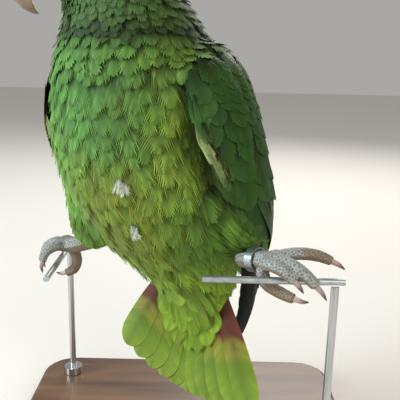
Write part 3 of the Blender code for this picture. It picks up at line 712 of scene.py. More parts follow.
close = [vane(27, 2.8, widest=0.76, base=0.6, split=0.60, ragged=0.09, slant=2.2) for _ in range(3)]
loose = [vane(27, 3.6, widest=0.76, base=0.6, split=0.52, ragged=0.12, slant=2.8) for _ in range(3)]
fine = [vane(14, 3.4, widest=0.76, base=0.55, split=0.70, ragged=0.08, slant=2.0) for _ in range(2)]
smooth = [vane(26, 3.4, widest=0.80, base=0.65, split=0.92, ragged=0.02, slant=2.2) for _ in range(2)]
beds = {"breast": [], "belly": [], "back": [], "neck": [], "vent": []}
shapes = {"breast": close, "belly": loose, "back": close, "neck": fine, "vent": smooth}
roots = np.array(roots)
bearings = bearing_of(roots)
for root, bearing in zip(roots, bearings):
    fineness = float(ease(*FINE_EDGE, root[2]))
    lower = float(1 - ease(*LOWER_EDGE, root[2]))
    vent = float(1 - ease(*SMOOTH_EDGE, root[2]))
    if np.linalg.norm(root - HEAD_MIDDLE) < HEAD_REACH - 4 * MM:
        continue
    if abs(bearing) > BACK_BEARING:
        zone = "back" if fineness < 0.5 else "neck"
    else:
        zone = "neck" if fineness > 0.5 else ("belly" if lower > 0.5 else "breast")
        zone = "vent" if vent > 0.5 else zone
    width = (18.5 * (1 - fineness) + 7.5 * fineness - 1.5 * lower + 2.0 * vent) * MM
    length = (25.0 * (1 - fineness) + 13.0 * fineness + 4.0 * lower + 9.0 * vent) * MM
    depth = float(plumage_depth(root[None])[0])
    lobe = ease(0.45, 0.8, bearing) * ease(0.160, 0.172, root[2]) * (1 - ease(0.19, 0.21, root[2]))
    feather = lay_net(
        skin_under,
        root,
        body_flow,
        width * rng.uniform(0.85, 1.15),
        length * rng.uniform(0.88, 1.12),
        low=-0.5 * MM,
        high=depth * rng.uniform(0.85, 1.0) + 1.4 * MM * float(lobe),
        camber=0.07,
        curl=rng.uniform(-0.5, 0.3) * MM,
        twist=rng.normal(0, 0.11 + 0.10 * lower * (1 - vent)),
    )
    beds[zone].append(feather)


def bed_of(shape, laid, patch, colour=plumage_colour):
    """A bed for coat_piece from laid nets: coloured by where their tips lie."""
    nets = np.array([[tuple(corner) for corner in net] for net, _, _ in laid])
    normals = np.array([tuple(normal) for _, normal, _ in laid])
    places = np.array([tuple(root) for _, _, root in laid])
    tips = nets[:, 3 * (NET_ROWS - 2) + 1]
    colours = colour(tips) * rng.uniform(0.86, 1.14, (len(laid), 1))
    colours *= rng.uniform(0.95, 1.05, (len(laid), 3))
    return shape, nets, normals, colours, patch(places)


def beds_of(shapes, laid, patch, colour=plumage_colour):
    """Beds for coat_piece from laid nets, shared out among a few shapes of the same feather."""
    return [bed_of(shape, laid[k :: len(shapes)], patch, colour) for k, shape in enumerate(shapes)]


RUFFLE, STREAKS = 0.20 * MM, 0.42
RUFFLED = {"breast": 1.0, "belly": 0.75, "back": 0.7, "neck": 0.7, "vent": 0.4}
body_feathers = feather_finish("body_feathers", 0.65, 0.08 * MM, between=0.94)
for zone, laid in beds.items():
    made = beds_of(shapes[zone], laid, body_patch)
    share = RUFFLED[zone]
    coat_piece("coat_" + zone, made, body_feathers, RUFFLE * share, STREAKS * share)

# ---------------------------------------------------------------------------------------------
# Head and thigh feathers. Tiny close ones over the head, smallest round the eyes and bill, and
# long soft ones that hang down the thighs towards the feet, both scattered evenly.

EYE_CLEAR, EYE_CLEAR_AHEAD = 7.3 * MM, 3.6 * MM
THIGH_TOP, THIGH_REACH = 0.205, 27


def scattered(mesh, keep, spacing, tries):
    """Random places on a surface, each at least its own spacing from the others."""
    mesh.calc_loop_triangles()
    points = points_of(mesh)
    triangles = np.empty(len(mesh.loop_triangles) * 3, np.int32)
    mesh.loop_triangles.foreach_get("vertices", triangles)
    a, b, c = points[triangles.reshape(-1, 3).T]
    near = keep((a + b + c) / 3)
    a, b, c = a[near], b[near], c[near]
    area = np.linalg.norm(np.cross(b - a, c - a), axis=1)
    chosen = rng.choice(len(a), tries, p=area / area.sum())
    s, t = rng.random((2, tries, 1))
    over = s + t > 1
    s, t = np.where(over, 1 - s, s), np.where(over, 1 - t, t)
    spots = a[chosen] + (b - a)[chosen] * s + (c - a)[chosen] * t
    gaps = spacing(spots)
    taken = np.empty((tries, 3))
    count = 0
    for spot, gap in zip(spots, gaps):
        if count and ((taken[:count] - spot) ** 2).sum(1).min() < gap * gap:
            continue
        taken[count] = spot
        count += 1
    return taken[:count]


def eye_gap(points):
    """The distance to the nearer eye's middle."""
    return np.min([np.linalg.norm(points - middle, axis=1) for middle in EYES.values()], axis=0)


bill_outers = [tree_of("beak_upper"), tree_of("beak_lower")]


def on_face(points):
    """True for the head's feathered places: not the bill's root and not the bare eye rings."""
    forward, sideways, upward = head_place(points)
    bill = (forward > 17.5) & (np.abs(sideways) < 9.5) & (upward < 8.5) & (upward > -2)
    for outer in bill_outers:
        for k in np.flatnonzero(forward > 8):
            near, normal, _, _ = outer.find_nearest(Vector(points[k]))
            bill[k] |= (Vector(points[k]) - near).dot(normal) < 0.4 * MM
    head = np.linalg.norm(points - HEAD_MIDDLE, axis=1) < HEAD_REACH
    head |= points[:, 2] > ROW_TOP - 2 * MM
    behind = points - HEAD_FRONT * EYE_CLEAR_AHEAD
    clear = (eye_gap(points) > EYE_CLEAR) & (eye_gap(behind) > EYE_CLEAR)
    return head & clear & ~bill


def face_spacing(points):
    """Closer together towards the bill and the eyes."""
    forward, _, _ = head_place(points)
    small = np.maximum(ease(6, 17, forward), 1 - ease(8, 16, eye_gap(points) / MM))
    return (2.5 - 1.15 * small) * MM


def head_patch(points):
    """Places on the unwrap of the head: turn about its own long axis across, length up."""
    forward, sideways, upward = head_place(points)
    turn = np.arctan2(sideways, upward)
    return np.stack((0.5 + turn / (2 * math.pi) * 0.96, 0.5 + forward / 80 * 0.96), 1)


tiny = [vane(11, 3.0, widest=0.74, base=0.55, split=0.84, ragged=0.05, slant=2.4) for _ in range(3)]
face = scattered(skin.data, on_face, face_spacing, 24000)
laid = []
for root, spacing, depth in zip(face, face_spacing(face), plumage_depth(face)):
    feather = lay_net(
        skin_under,
        root,
        body_flow,
        spacing * rng.uniform(1.9, 2.3),
        spacing * rng.uniform(3.4, 4.2),
        low=0.0,
        high=max(depth, 1.2 * MM) * rng.uniform(0.85, 1.05),
        camber=0.08,
        twist=rng.normal(0, 0.08),
    )
    laid.append(feather)
head_feathers = feather_finish("head_feathers", 0.6, 0.05 * MM, between=0.92)
head_beds = beds_of(tiny, laid, head_patch)
coat_piece("coat_head", head_beds, head_feathers, 0.06 * MM, 0.16, 0.3)


def thigh_share(points):
    """How near points lie to the nearer thigh's line, in millimetres, and how far along it."""
    gaps, shares = [], []
    for root, end in THIGHS.values():
        axis = end - root
        share = np.clip((points - root) @ axis / (axis @ axis), 0, 1.25)
        gaps.append(np.linalg.norm(points - root - axis * share[:, None], axis=1) / MM)
        shares.append(share)
    nearer = np.argmin(gaps, axis=0)[None]
    gap, share = (np.take_along_axis(np.array(rows), nearer, 0)[0] for rows in (gaps, shares))
    return gap, share


def on_thigh(points):
    """True for the thighs' and flanks' outer places below the wing's edge."""
    gap, share = thigh_share(points)
    return (gap < THIGH_REACH) & (share > -0.1) & (points[:, 2] < THIGH_TOP)


def thigh_patch(points):
    """Places on the unwrap of the thighs: left and right halves, turn across, height up."""
    half = np.where(bearing_of(points) > 0, 0.75, 0.25)
    turn = np.arctan2(points[:, 1], points[:, 0] + 0.01)
    return np.stack((half + turn / (2 * math.pi) * 0.45, 0.05 + (points[:, 2] - 0.1) / 0.12 * 0.9), 1)


hanging = [vane(24, 4.4, widest=0.80, base=0.6, split=0.62, ragged=0.09, slant=3.2) for _ in range(3)]
thighs = scattered(skin.data, on_thigh, lambda points: np.full(len(points), 4.3 * MM), 6000)
laid = []
for root, middle in zip(thighs, spine_at(thighs[:, 2])):
    way = Vector(root - middle)
    if under_cover(wing_outers, Vector(middle), way.normalized(), way.length):
        continue
    feather = lay_net(
        skin_under,
        root,
        body_flow,
        rng.uniform(8.5, 11.5) * MM,
        rng.uniform(21, 28) * MM,
        low=-0.5 * MM,
        high=(rng.uniform(3.6, 5.0) - 1.8 * float(ease(0.150, 0.165, root[2]))) * MM,
        camber=0.10,
        curl=rng.uniform(-0.8, 0.2) * MM,
        twist=rng.normal(0, 0.14),
    )
    laid.append(feather)
coat_piece("coat_thighs", beds_of(hanging, laid, thigh_patch), body_feathers)

# ---------------------------------------------------------------------------------------------
# Wings, folded. Rows of rounded coverts, dark green with a row of narrow pale ones along the leading
# edge, over long straight secondaries and black-ended primaries that reach down to the wing's tip.
# Short feathers of the flank close the gap where each wing's front edge lies on the body.

WING_TOP, WING_TIP = 0.2515, 0.0655
COVERTS_END, BROAD_FAR = 0.196, 0.5
EDGING_TOP, EDGING_END, EDGING_STEP = 0.228, 0.186, 2.4 * MM
FLANK_LOW, FLANK_HIGH, FLANK_SHADE = 0.135, 0.238, 0.6
LONG_FEATHERS = (("primary", 8), ("secondary", 10), ("tertial", 3))
COVERT_GREEN = np.array((0.022, 0.066, 0.009))
BEND_GREEN = np.array((0.036, 0.115, 0.022))
EDGE_YELLOW = np.array((0.330, 0.400, 0.160))
FLIGHT_GREEN = np.array((0.017, 0.062, 0.008))
FLIGHT_BLACK = np.array((0.012, 0.013, 0.016))


def wing_reach(surface, side):
    """How far round the body one wing runs, at heights from its tip to its top."""
    table = []
    for height in np.linspace(WING_TIP, WING_TOP, 32):
        middle = Vector(spine_at(height))
        struck = []
        for bearing in np.radians(np.arange(20, 190, 1.0)):
            way = way_out(bearing, side)
            if surface.ray_cast(middle + way * 0.2, -way, 0.2)[0] is not None:
                struck.append(bearing)
        if struck:
            table.append((height, min(struck), max(struck)))
    return np.array(table)


def wing_edges(table, heights):
    """The bearings of a wing's front and rear edges at some heights."""
    return np.interp(heights, table[:, 0], table[:, 1]), np.interp(heights, table[:, 0], table[:, 2])


def wing_spot(surface, side, table, height, share):
    """The place and outward normal on a wing at a height and a share from front to rear edge."""
    front, rear = wing_edges(table, height)
    bearing = front + (rear - front) * (0.02 + 0.96 * share)
    way = way_out(bearing, side)
    middle = Vector(spine_at(height))
    place, normal, _, _ = surface.ray_cast(middle + way * 0.2, -way, 0.2)
    if place is None:
        place, normal, _, _ = surface.find_nearest(middle + way * 0.06)
    return place, normal


def strip_net(spots, width, levels, camber):
    """The net of a long feather through given spots, with its height over them at each."""
    net = []
    for k, (place, normal) in enumerate(spots):
        ahead = spots[min(k + 1, len(spots) - 1)][0]
        behind = spots[max(k - 1, 0)][0]
        across = (ahead - behind).cross(normal).normalized()
        for side in (-1, 0, 1):
            drop = abs(side) * camber * width
            net.append(place + across * side * width / 2 + normal * (levels[k] - drop))
    return net


def mixed(start, end, power=1.0):
    """Shares from a start to an end, one for each row of a net."""
    return start + (end - start) * np.linspace(0, 1, NET_ROWS) ** power


def wing_flow(place):
    """The way a wing's coverts lie: down the wing and a little back."""
    spine = spine_at(np.array((place[2] - 6 * MM, place[2] + 6 * MM)))
    return unit(spine[0] - spine[1]) - BODY_FRONT * 0.22


def flank_colour(points):
    """The body's green, duller where the wing shades it."""
    return plumage_colour(points) * FLANK_SHADE


def long_run(kind, k, part):
    """A long feather's heights and shares round the wing, row by row, its width and its level."""
    if kind == "primary":
        heights = mixed(0.188, WING_TIP + 7.2 * MM * k)
        shares = mixed(0.03 + 0.30 * part, 0.42 + 0.22 * part, 2.4)
        return heights, shares, 14.0 * MM, (-2.6 + 0.16 * k) * MM
    if kind == "secondary":
        heights = mixed(0.196, 0.106 + 3.6 * MM * k)
        shares = mixed(0.05 + 0.85 * part, 0.24 + 0.68 * part, 2.0)
        return heights, shares, 15.0 * MM, (-1.3 + 0.12 * k) * MM
    heights = mixed(0.208, 0.134 + 7.0 * MM * k)
    shares = mixed(0.72 + 0.22 * part, 0.74 + 0.20 * part)
    return heights, shares, 16.0 * MM, (-0.3 + 0.2 * k) * MM


small = vane(10, 3.0, widest=0.68, base=0.45, split=0.90)
broad = vane(16, 3.4, widest=0.72, base=0.45, split=0.93)
flight = vane(40, 18.0, widest=0.90, base=0.62, split=1, rings=2)
covert_feathers = feather_finish("covert_feathers", 0.5, 0.08 * MM, between=0.88, sheen=0.0, gloss=0.14)
flight_feathers = feather_finish("flight_feathers", 0.45, 0.08 * MM, between=0.85, sheen=0.0, gloss=0.14)

for wing, side, surface in (("left", 1, wing_outers[0]), ("right", -1, wing_outers[1])):
    table = wing_reach(surface, side)

    def wing_patch(points, table=table):
        """Places on the unwrap of the wing: share across, height up."""
        front, rear = wing_edges(table, points[:, 2])
        share = np.clip((np.abs(bearing_of(points)) - front) / (rear - front), 0, 1)
        return np.stack((0.04 + 0.92 * share, 0.02 + (points[:, 2] - 0.06) / 0.2 * 0.96), 1)

    def covert_colour(points, table=table):
        """Dark green, brighter at the bend, with the yellow-green leading edge."""
        front, rear = wing_edges(table, points[:, 2])
        share = (np.abs(bearing_of(points)) - front) / (rear - front)
        edge = (1 - ease(-0.01, 0.03, share)) * ease(0.178, 0.205, points[:, 2])
        edge *= 1 - ease(0.218, 0.226, points[:, 2])
        bend = (1 - ease(0.02, 0.14, share)) * ease(0.200, 0.222, points[:, 2])
        colour = mix(np.tile(COVERT_GREEN, (len(points), 1)), BEND_GREEN, bend)
        return mix(colour, EDGE_YELLOW, edge)

    def on_flank(points, table=table, side=side):
        """True just in front of and behind the wing's front edge, where it lies on the body."""
        past = np.degrees(bearing_of(points) * side - wing_edges(table, points[:, 2])[0])
        far = 3 + 7 * ease(0.185, 0.21, points[:, 2]) - 6 * ease(0.222, 0.232, points[:, 2])
        level = (points[:, 2] > FLANK_LOW) & (points[:, 2] < FLANK_HIGH)
        return (past > -9) & (past < far) & level

    tucked = []
    for root in scattered(skin.data, on_flank, lambda points: np.full(len(points), 4.6 * MM), 3000):
        twist = rng.normal(0, 0.1)
        feather = lay_net(skin_under, root, body_flow, 11 * MM, 20 * MM, -0.5 * MM, 1.9 * MM, twist=twist)
        tucked.append(feather)
    tucked_beds = beds_of(close, tucked, body_patch, flank_colour)
    coat_piece("coat_flank_" + wing, tucked_beds, body_feathers)

    rows = {"small": [], "broad": []}
    height, row = WING_TOP - 1 * MM, 0
    while height > COVERTS_END:
        far = float(1 - ease(0.200, 0.232, height))
        front, rear = wing_edges(table, height)
        start = wing_spot(surface, side, table, height, 0.0)[0]
        round_way = (rear - front) * (start - Vector(spine_at(height))).length
        spacing = (9.0 + 3.0 * far) * MM
        count = max(3, int(round_way / spacing))
        for k in range(count + 1):
            stagger = 0.5 if row % 2 else 0.0
            share = min(max((k + stagger + rng.normal(0, 0.06)) / count, 0.0), 1.0)
            root, _ = wing_spot(surface, side, table, height, share)
            width = (13.0 + 4.0 * far) * rng.uniform(0.9, 1.1) * MM
            length = (19.0 + 13.0 * far) * rng.uniform(0.92, 1.08) * MM
            twist = rng.normal(0, 0.05)
            feather = lay_net(
                surface, root, wing_flow, width, length, -0.8 * MM, 0.7 * MM, camber=0.06, twist=twist
            )
            rows["broad" if far > BROAD_FAR else "small"].append(feather)
        height -= (6.0 + 3.0 * far - 3.6 * float(ease(0.236, 0.246, height))) * MM
        row += 1
    edging = []
    for height in np.arange(EDGING_TOP, EDGING_END, -EDGING_STEP):
        root, _ = wing_spot(surface, side, table, height, 0.015)
        feather = lay_net(
            surface, root, wing_flow, 6.0 * MM, 15 * MM, 0.2 * MM, 1.1 * MM, camber=0.12
        )
        edging.append(feather)
    kinds = ((small, rows["small"]), (broad, rows["broad"]), (small, edging))
    covert_beds = [bed_of(shape, laid, wing_patch, covert_colour) for shape, laid in kinds]
    coverts = "coat_wing_coverts_" + wing
    coat_piece(coverts, covert_beds, covert_feathers, 0.05 * MM, 0.10, 0.5)

    laid, colours = [], []
    for kind, count in LONG_FEATHERS:
        for k in range(count):
            heights, shares, width, level = long_run(kind, k, k / (count - 1))
            spots = [wing_spot(surface, side, table, h, s) for h, s in zip(heights, shares)]
            net = strip_net(spots, width, mixed(level, level + 0.5 * MM), 0.05)
            laid.append((net, spots[0][1], spots[0][0]))
            green = np.tile(FLIGHT_GREEN, (len(flight["v"]), 1)) * rng.uniform(0.85, 1.15)
            if kind == "primary":
                web = (flight["u"] * side < 0) * ease(0.35, 0.55, flight["v"])
                dark = np.clip(ease(0.66, 0.84, flight["v"]) + web, 0, 1)
                green = mix(green, FLIGHT_BLACK, dark)
            colours.append(green)
    shape, nets, normals, _, places = bed_of(flight, laid, wing_patch, covert_colour)
    flight_beds = [(shape, nets, normals, np.array(colours), places)]
    long_ones = "coat_wing_flight_" + wing
    coat_piece(long_ones, flight_beds, flight_feathers, 0.02 * MM, 0.12, 0.8)

# ---------------------------------------------------------------------------------------------
# Tail. Twelve straight flight feathers with rounded tips, fanned. The middle ones are green, the
# side ones red at the root, then yellow, with yellow-green ends.

TAIL_ROOT = np.array((0.008, 0.009, 0.124))
TAIL_HEADING, TAIL_LEAN, TAIL_TURN = math.radians(30), math.radians(2), math.radians(-6)
TAIL_LENGTH, TAIL_SPREAD = 101 * MM, math.radians(23)
TAIL_HALF_ROOT, TAIL_HALF_WIDTH, TAIL_GUTTER = 13 * MM, 9.6 * MM, 1.2 * MM
TAIL_PAIRS, TAIL_STEP = 6, 1.25
TAIL_BUNCH = 1.35
TAIL_SIDES = ((1, 0.95), (-1, 0.86))
TAIL_GREEN = np.array((0.115, 0.200, 0.018))
TAIL_TIP = np.array((0.180, 0.275, 0.035))
TAIL_YELLOW = np.array((0.235, 0.245, 0.034))
TAIL_RED = np.array((0.125, 0.036, 0.022))

tail_front = np.array((-math.sin(TAIL_HEADING), -math.cos(TAIL_HEADING), 0))
tail_left = np.array((math.cos(TAIL_HEADING), -math.sin(TAIL_HEADING), 0))
tail_down = -UPWARD * math.cos(TAIL_LEAN) - tail_front * math.sin(TAIL_LEAN)
tail_axis = tail_down * math.cos(TAIL_TURN) + tail_left * math.sin(TAIL_TURN)
tail_across = tail_left * math.cos(TAIL_TURN) - tail_down * math.sin(TAIL_TURN)
tail_normal = unit(np.cross(tail_across, tail_axis))
if tail_normal @ tail_front < 0:
    tail_normal = -tail_normal

rectrix = vane(44, 10.0, widest=0.84, base=0.45, split=1, rings=2)
tail_feathers = feather_finish("tail_feathers", 0.45, 0.10 * MM, between=0.90)
tail_nets, tail_normals, tail_colours, tail_places = [], [], [], []
for pair in range(TAIL_PAIRS):
    for side, outer in TAIL_SIDES:
        share = (pair + 0.5) / (TAIL_PAIRS - 0.5)
        fanned = share**TAIL_BUNCH
        angle = TAIL_SPREAD * fanned * side
        length = TAIL_LENGTH * (1 - (1 - outer) * share**1.5)
        run = tail_axis * math.cos(angle) + tail_across * math.sin(angle)
        side_way = tail_across * math.cos(angle) - tail_axis * math.sin(angle)
        layer = pair + (0.5 if side > 0 else 0.0) - 1.5
        shift = tail_normal * layer * TAIL_STEP * MM
        net = []
        for k in range(NET_ROWS):
            along = k / (NET_ROWS - 1)
            middle = TAIL_ROOT + shift + run * length * along - tail_normal * 1.2 * MM * (1 - along)
            middle = middle + tail_across * side * fanned * TAIL_HALF_ROOT
            half = TAIL_HALF_WIDTH * (0.55 + 0.45 * min(1.0, along / 0.62))
            for edge in (1, 0, -1):
                gutter = TAIL_GUTTER * (1 - abs(edge))
                net.append(middle + side_way * edge * half + tail_normal * gutter)
        tail_nets.append(net)
        tail_normals.append(tail_normal)
        tail_places.append((0.5 + side * (0.04 + 0.08 * pair), 0.5))
        v, u = rectrix["v"], rectrix["u"]
        green = mix(np.tile(TAIL_GREEN, (len(v), 1)), TAIL_TIP, ease(0.62, 0.92, v))
        red = ease(0.25, 0.75, share)
        wave = v + 0.035 * np.sin(rectrix["comb"] * 0.9 + pair)
        colour = mix(green, TAIL_YELLOW, red * (1 - ease(0.58, 0.74, wave)))
        colour = mix(colour, TAIL_RED, red * (1 - ease(0.49, 0.60, wave)))
        tail_colours.append(colour * rng.uniform(0.9, 1.1))
tail_bed = (rectrix, tail_nets, tail_normals, tail_colours, tail_places)
tail = coat_piece("coat_tail", [tail_bed], tail_feathers, 0.03 * MM, 0.10, 0.85)
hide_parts("tail")

# ---------------------------------------------------------------------------------------------
# Undertail coverts. Two layers of long soft feathers that fan from the vent over the roots of the
# tail feathers, and lift where the vent swells under them.

UNDERTAIL_SPREAD, UNDERTAIL_HALF_WIDTH = math.radians(15), 7.5 * MM

long_covert = vane(30, 3.4, widest=0.80, base=0.7, split=0.9, ragged=0.02, slant=2.4, rings=2)
laid = []
for layer in (0, 1):
    for part in np.linspace(-1, 1, 7 - layer):
        angle = UNDERTAIL_SPREAD * part
        length = (61 - 20 * part**2 - 12 * layer) * MM
        run = tail_axis * math.cos(angle) + tail_across * math.sin(angle)
        side_way = tail_across * math.cos(angle) - tail_axis * math.sin(angle)
        start = TAIL_ROOT + tail_axis * 6 * MM + tail_across * part * 9 * MM
        net = []
        for along in np.linspace(0, 1, NET_ROWS):
            spot = start + run * length * along
            hit = skin_under.ray_cast(Vector(spot + tail_normal * 0.08), Vector(-tail_normal), 0.09)[0]
            on_vent = (np.array(hit) - spot) @ tail_normal if hit else 0.0
            lift = max(on_vent + (1 + 2.5 * along) * MM, (3.5 + 3.0 * abs(part)) * MM)
            lift += layer * 0.8 * MM
            half = UNDERTAIL_HALF_WIDTH * (0.7 + 0.3 * min(1.0, along / 0.5))
            for edge in (-1, 0, 1):
                drop = 0.9 * MM * abs(edge)
                net.append(spot - side_way * edge * half + tail_normal * (lift - drop))
        laid.append((net, tail_normal, start))
undertail_beds = [bed_of(long_covert, laid, body_patch)]
coat_piece("coat_undertail", undertail_beds, tail_feathers, 0.05 * MM, 0.16, 0.7)

# ---------------------------------------------------------------------------------------------
# Down. Two tufts of white down that have worked out between the belly feathers on the bird's
# right, one of 20 wisps and one of 12, with loose barbs and curled ends.

DOWN_WHITE = np.array((0.62, 0.66, 0.56))
DOWN_SPOTS = ((-0.0312, 0.183, 6.0, 1.3), (-0.0262, 0.158, 6.5, 0.8))  # across, height, size, spread
DOWN_WISPS = 16


def pale_down(points):
    """White, for the down."""
    return np.tile(DOWN_WHITE, (len(points), 1))


wisp = [vane(14, 4.0, widest=0.70, base=0.35, split=0.2, ragged=0.2, slant=3.0) for _ in range(3)]
laid = []
for across, height, size, spread in DOWN_SPOTS:
    centre = skin_under.ray_cast(Vector((across, -0.3, height)), Vector((0, 1, 0)))[0]
    for _ in range(int(DOWN_WISPS * spread)):
        root = centre + Vector(rng.normal(0, spread * MM, 3))
        feather = lay_net(
            skin_under,
            root,
            body_flow,
            size * rng.uniform(0.35, 0.6) * MM,
            size * rng.uniform(0.8, 1.3) * MM,
            low=3.2 * MM,
            high=rng.uniform(4.4, 5.8) * MM,
            camber=0.1,
            curl=rng.uniform(-1.5, 1.5) * MM,
            twist=rng.normal(0.15, 0.22),
        )
        laid.append(feather)
down_finish = feather_finish("down", 0.8, 0.05 * MM, between=0.95)
down_beds = beds_of(wisp, laid, body_patch, pale_down)
coat_piece("coat_down", down_beds, down_finish, 0.5 * MM, 0.05, 0.8)

# ---------------------------------------------------------------------------------------------
# Eyes. Wet round eyeballs with a black pupil and an orange iris, set in a ring of bare grey-white
# skin whose fine folds run round the lid's dark edge.

EYE_RADIUS = 5.6 * MM
EYE_TURN = math.radians(12)
PUPIL, IRIS = 2.1 * MM, 4.3 * MM
LID_EDGE, BARE_EDGE = 4.5 * MM, 7.8 * MM
RING_ROWS, RING_TURNS = 15, 72
RING_GREY, LID_DARK = np.array((0.37, 0.365, 0.345)), np.array((0.05, 0.045, 0.045))


def object_gap(nodes, link, place, scale=(1, 1, 1)):
    """A node that gives how far a surface point lies from a place, each axis scaled."""
    coords = nodes.new("ShaderNodeTexCoord")
    shift = nodes.new("ShaderNodeVectorMath")
    shift.operation = "SUBTRACT"
    shift.inputs[1].default_value = place
    link(coords.outputs["Object"], shift.inputs[0])
    squash = nodes.new("ShaderNodeVectorMath")
    squash.operation = "MULTIPLY"
    squash.inputs[1].default_value = scale
    link(shift.outputs["Vector"], squash.inputs[0])
    gap = nodes.new("ShaderNodeVectorMath")
    gap.operation = "LENGTH"
    link(squash.outputs["Vector"], gap.inputs[0])
    return gap.outputs["Value"]


def ramp(nodes, link, source, stops, low=0.0, high=1.0):
    """A colour ramp over a value's range from low to high; stops are (place, colour)."""
    spread = nodes.new("ShaderNodeMapRange")
    spread.inputs["From Min"].default_value = low
    spread.inputs["From Max"].default_value = high
    link(source, spread.inputs["Value"])
    band = nodes.new("ShaderNodeValToRGB")
    while len(band.color_ramp.elements) < len(stops):
        band.color_ramp.elements.new(0.5)
    for element, (place, colour) in zip(band.color_ramp.elements, stops):
        element.position = place
        element.color = (*colour, 1.0)
    link(spread.outputs["Result"], band.inputs["Fac"])
    return band.outputs["Color"]


def grid_mesh(name, grid, closed):
    """A sheet over a grid of points, rows by columns, joined round where closed."""
    rows, columns = grid.shape[:2]
    faces = []
    for i in range(rows - 1):
        row, above = i * columns, (i + 1) * columns
        for j in range(columns if closed else columns - 1):
            k = (j + 1) % columns
            faces.append((row + j, row + k, above + k, above + j))
    mesh = bpy.data.meshes.new(name)
    mesh.from_pydata(grid.reshape(-1, 3).tolist(), [], faces)
    mesh.shade_smooth()
    return mesh


bare_skin = painted_finish("bare_skin", (0.50, 0.50, 0.47), 0.6, (1800,), 0.5, 0.15 * MM)
for eye, side in (("eye_left", 1), ("eye_right", -1)):
    outward = unit(HEAD_LEFT * side * math.cos(EYE_TURN) + HEAD_FRONT * math.sin(EYE_TURN))
    finish, nodes, link, shader = plain_finish(
        eye, (0.1, 0.05, 0.02), 0.08, Coat_Weight=0.5, Coat_Roughness=0.02
    )
    pole = EYES[eye] + outward * EYE_RADIUS
    gap = object_gap(nodes, link, pole)
    stops = (
        (0.0, (0.004, 0.004, 0.004)),
        (PUPIL / EYE_RADIUS, (0.006, 0.005, 0.004)),
        (PUPIL / EYE_RADIUS + 0.03, (0.30, 0.10, 0.02)),
        (0.55, (0.62, 0.20, 0.025)),
        (0.70, (0.45, 0.12, 0.02)),
        (IRIS / EYE_RADIUS + 0.02, (0.05, 0.02, 0.012)),
        (0.95, (0.012, 0.01, 0.01)),
    )
    link(ramp(nodes, link, gap, stops, 0.0, EYE_RADIUS), shader.inputs["Base Color"])
    dress(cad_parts[eye].data, finish)

    forward_way = unit(HEAD_FRONT - outward * (HEAD_FRONT @ outward))
    upper_way = np.cross(outward, forward_way) * side
    turns = np.linspace(0, 2 * math.pi, RING_TURNS + 1)[:-1]
    shares = np.linspace(0, 1, RING_ROWS)
    ways, heights, folds = [], [], []
    for share in shares:
        radius = LID_EDGE + (BARE_EDGE - LID_EDGE) * share
        for turn in turns:
            squint = 1 - 0.10 * abs(math.sin(turn)) * (1 - share)
            way = (forward_way * math.cos(turn) + upper_way * math.sin(turn) * squint) * radius
            ball = math.sqrt(max((EYE_RADIUS + 0.5 * MM) ** 2 - way @ way, 0))
            far = Vector(EYES[eye] + way + outward * 20 * MM)
            hit = skin_under.ray_cast(far, Vector(-outward), 40 * MM)[0]
            on_skin = (np.array(hit) - EYES[eye]) @ outward
            settled = float(ease(0.20, 0.75, share))
            ways.append(way)
            heights.append(max(ball * (1 - settled) + on_skin * settled, on_skin, ball) + 0.32 * MM)
            fold = math.sin(share * 5.5 * 2 * math.pi + 0.7 * math.sin(turn * 3))
            folds.append(0.22 * MM * fold * math.sin(math.pi * min(share * 1.2, 1)))
    ways = np.array(ways).reshape(RING_ROWS, RING_TURNS, 3)
    heights = evened = np.array(heights).reshape(RING_ROWS, RING_TURNS)
    for _ in range(3):
        evened = (evened * 2 + np.roll(evened, 1, 1) + np.roll(evened, -1, 1)) / 4
    outermost = ease(0.5, 0.9, shares)[:, None]
    heights = evened * (1 - outermost) + (heights - 0.05 * MM) * outermost
    rises = heights + np.array(folds).reshape(RING_ROWS, RING_TURNS)
    rises[0] -= 0.5 * MM
    rises[-1] -= 0.8 * MM
    dark = 1 - ease(0.0, 0.16, shares)[:, None]
    tints = RING_GREY * (1 - dark) + LID_DARK * dark
    grid = EYES[eye] + ways + rises[..., None] * outward
    if side < 0:
        grid = grid[:, ::-1]
    lid = new_object("lid_" + eye, grid_mesh("lid_" + eye, grid, True))
    if lid.data.polygons[0].normal.dot(Vector(outward)) < 0:
        lid.data.flip_normals()
    paint(lid, np.repeat(tints, len(turns), axis=0))
    lid.data.materials.append(bare_skin)
    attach(lid, "root")

# ---------------------------------------------------------------------------------------------
# Bill and cere. A heavy hooked bill of horn, pale with a darker grey edge and tip and fine growth
# lines across it; over its root a soft dark swelling with two round nostrils.

BILL_ROOT = HEAD_MIDDLE + (HEAD_FRONT * 16 + HEAD_UP * 3.4) * MM
GROWTH_LINES = 4200
CERE_SIDE, NOSTRIL_TURN, NOSTRIL_SHARE = 96, 0.55, 0.52


def smooth_copy(node, steps, grain):
    """A finer, rounded copy of a CAD node that stands in its place."""
    obj = new_object(node + "_fine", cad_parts[node].data.copy())
    obj.matrix_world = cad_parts[node].matrix_world
    obj.data.materials.clear()
    wrapping(obj, "even", grain)
    smoothing(obj, "soft", steps)
    settle(obj)
    obj.data.transform(obj.matrix_world)
    obj.matrix_world = Matrix.Identity(4)
    obj.data.shade_smooth()
    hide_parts(node)
    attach(obj, "root")
    return obj


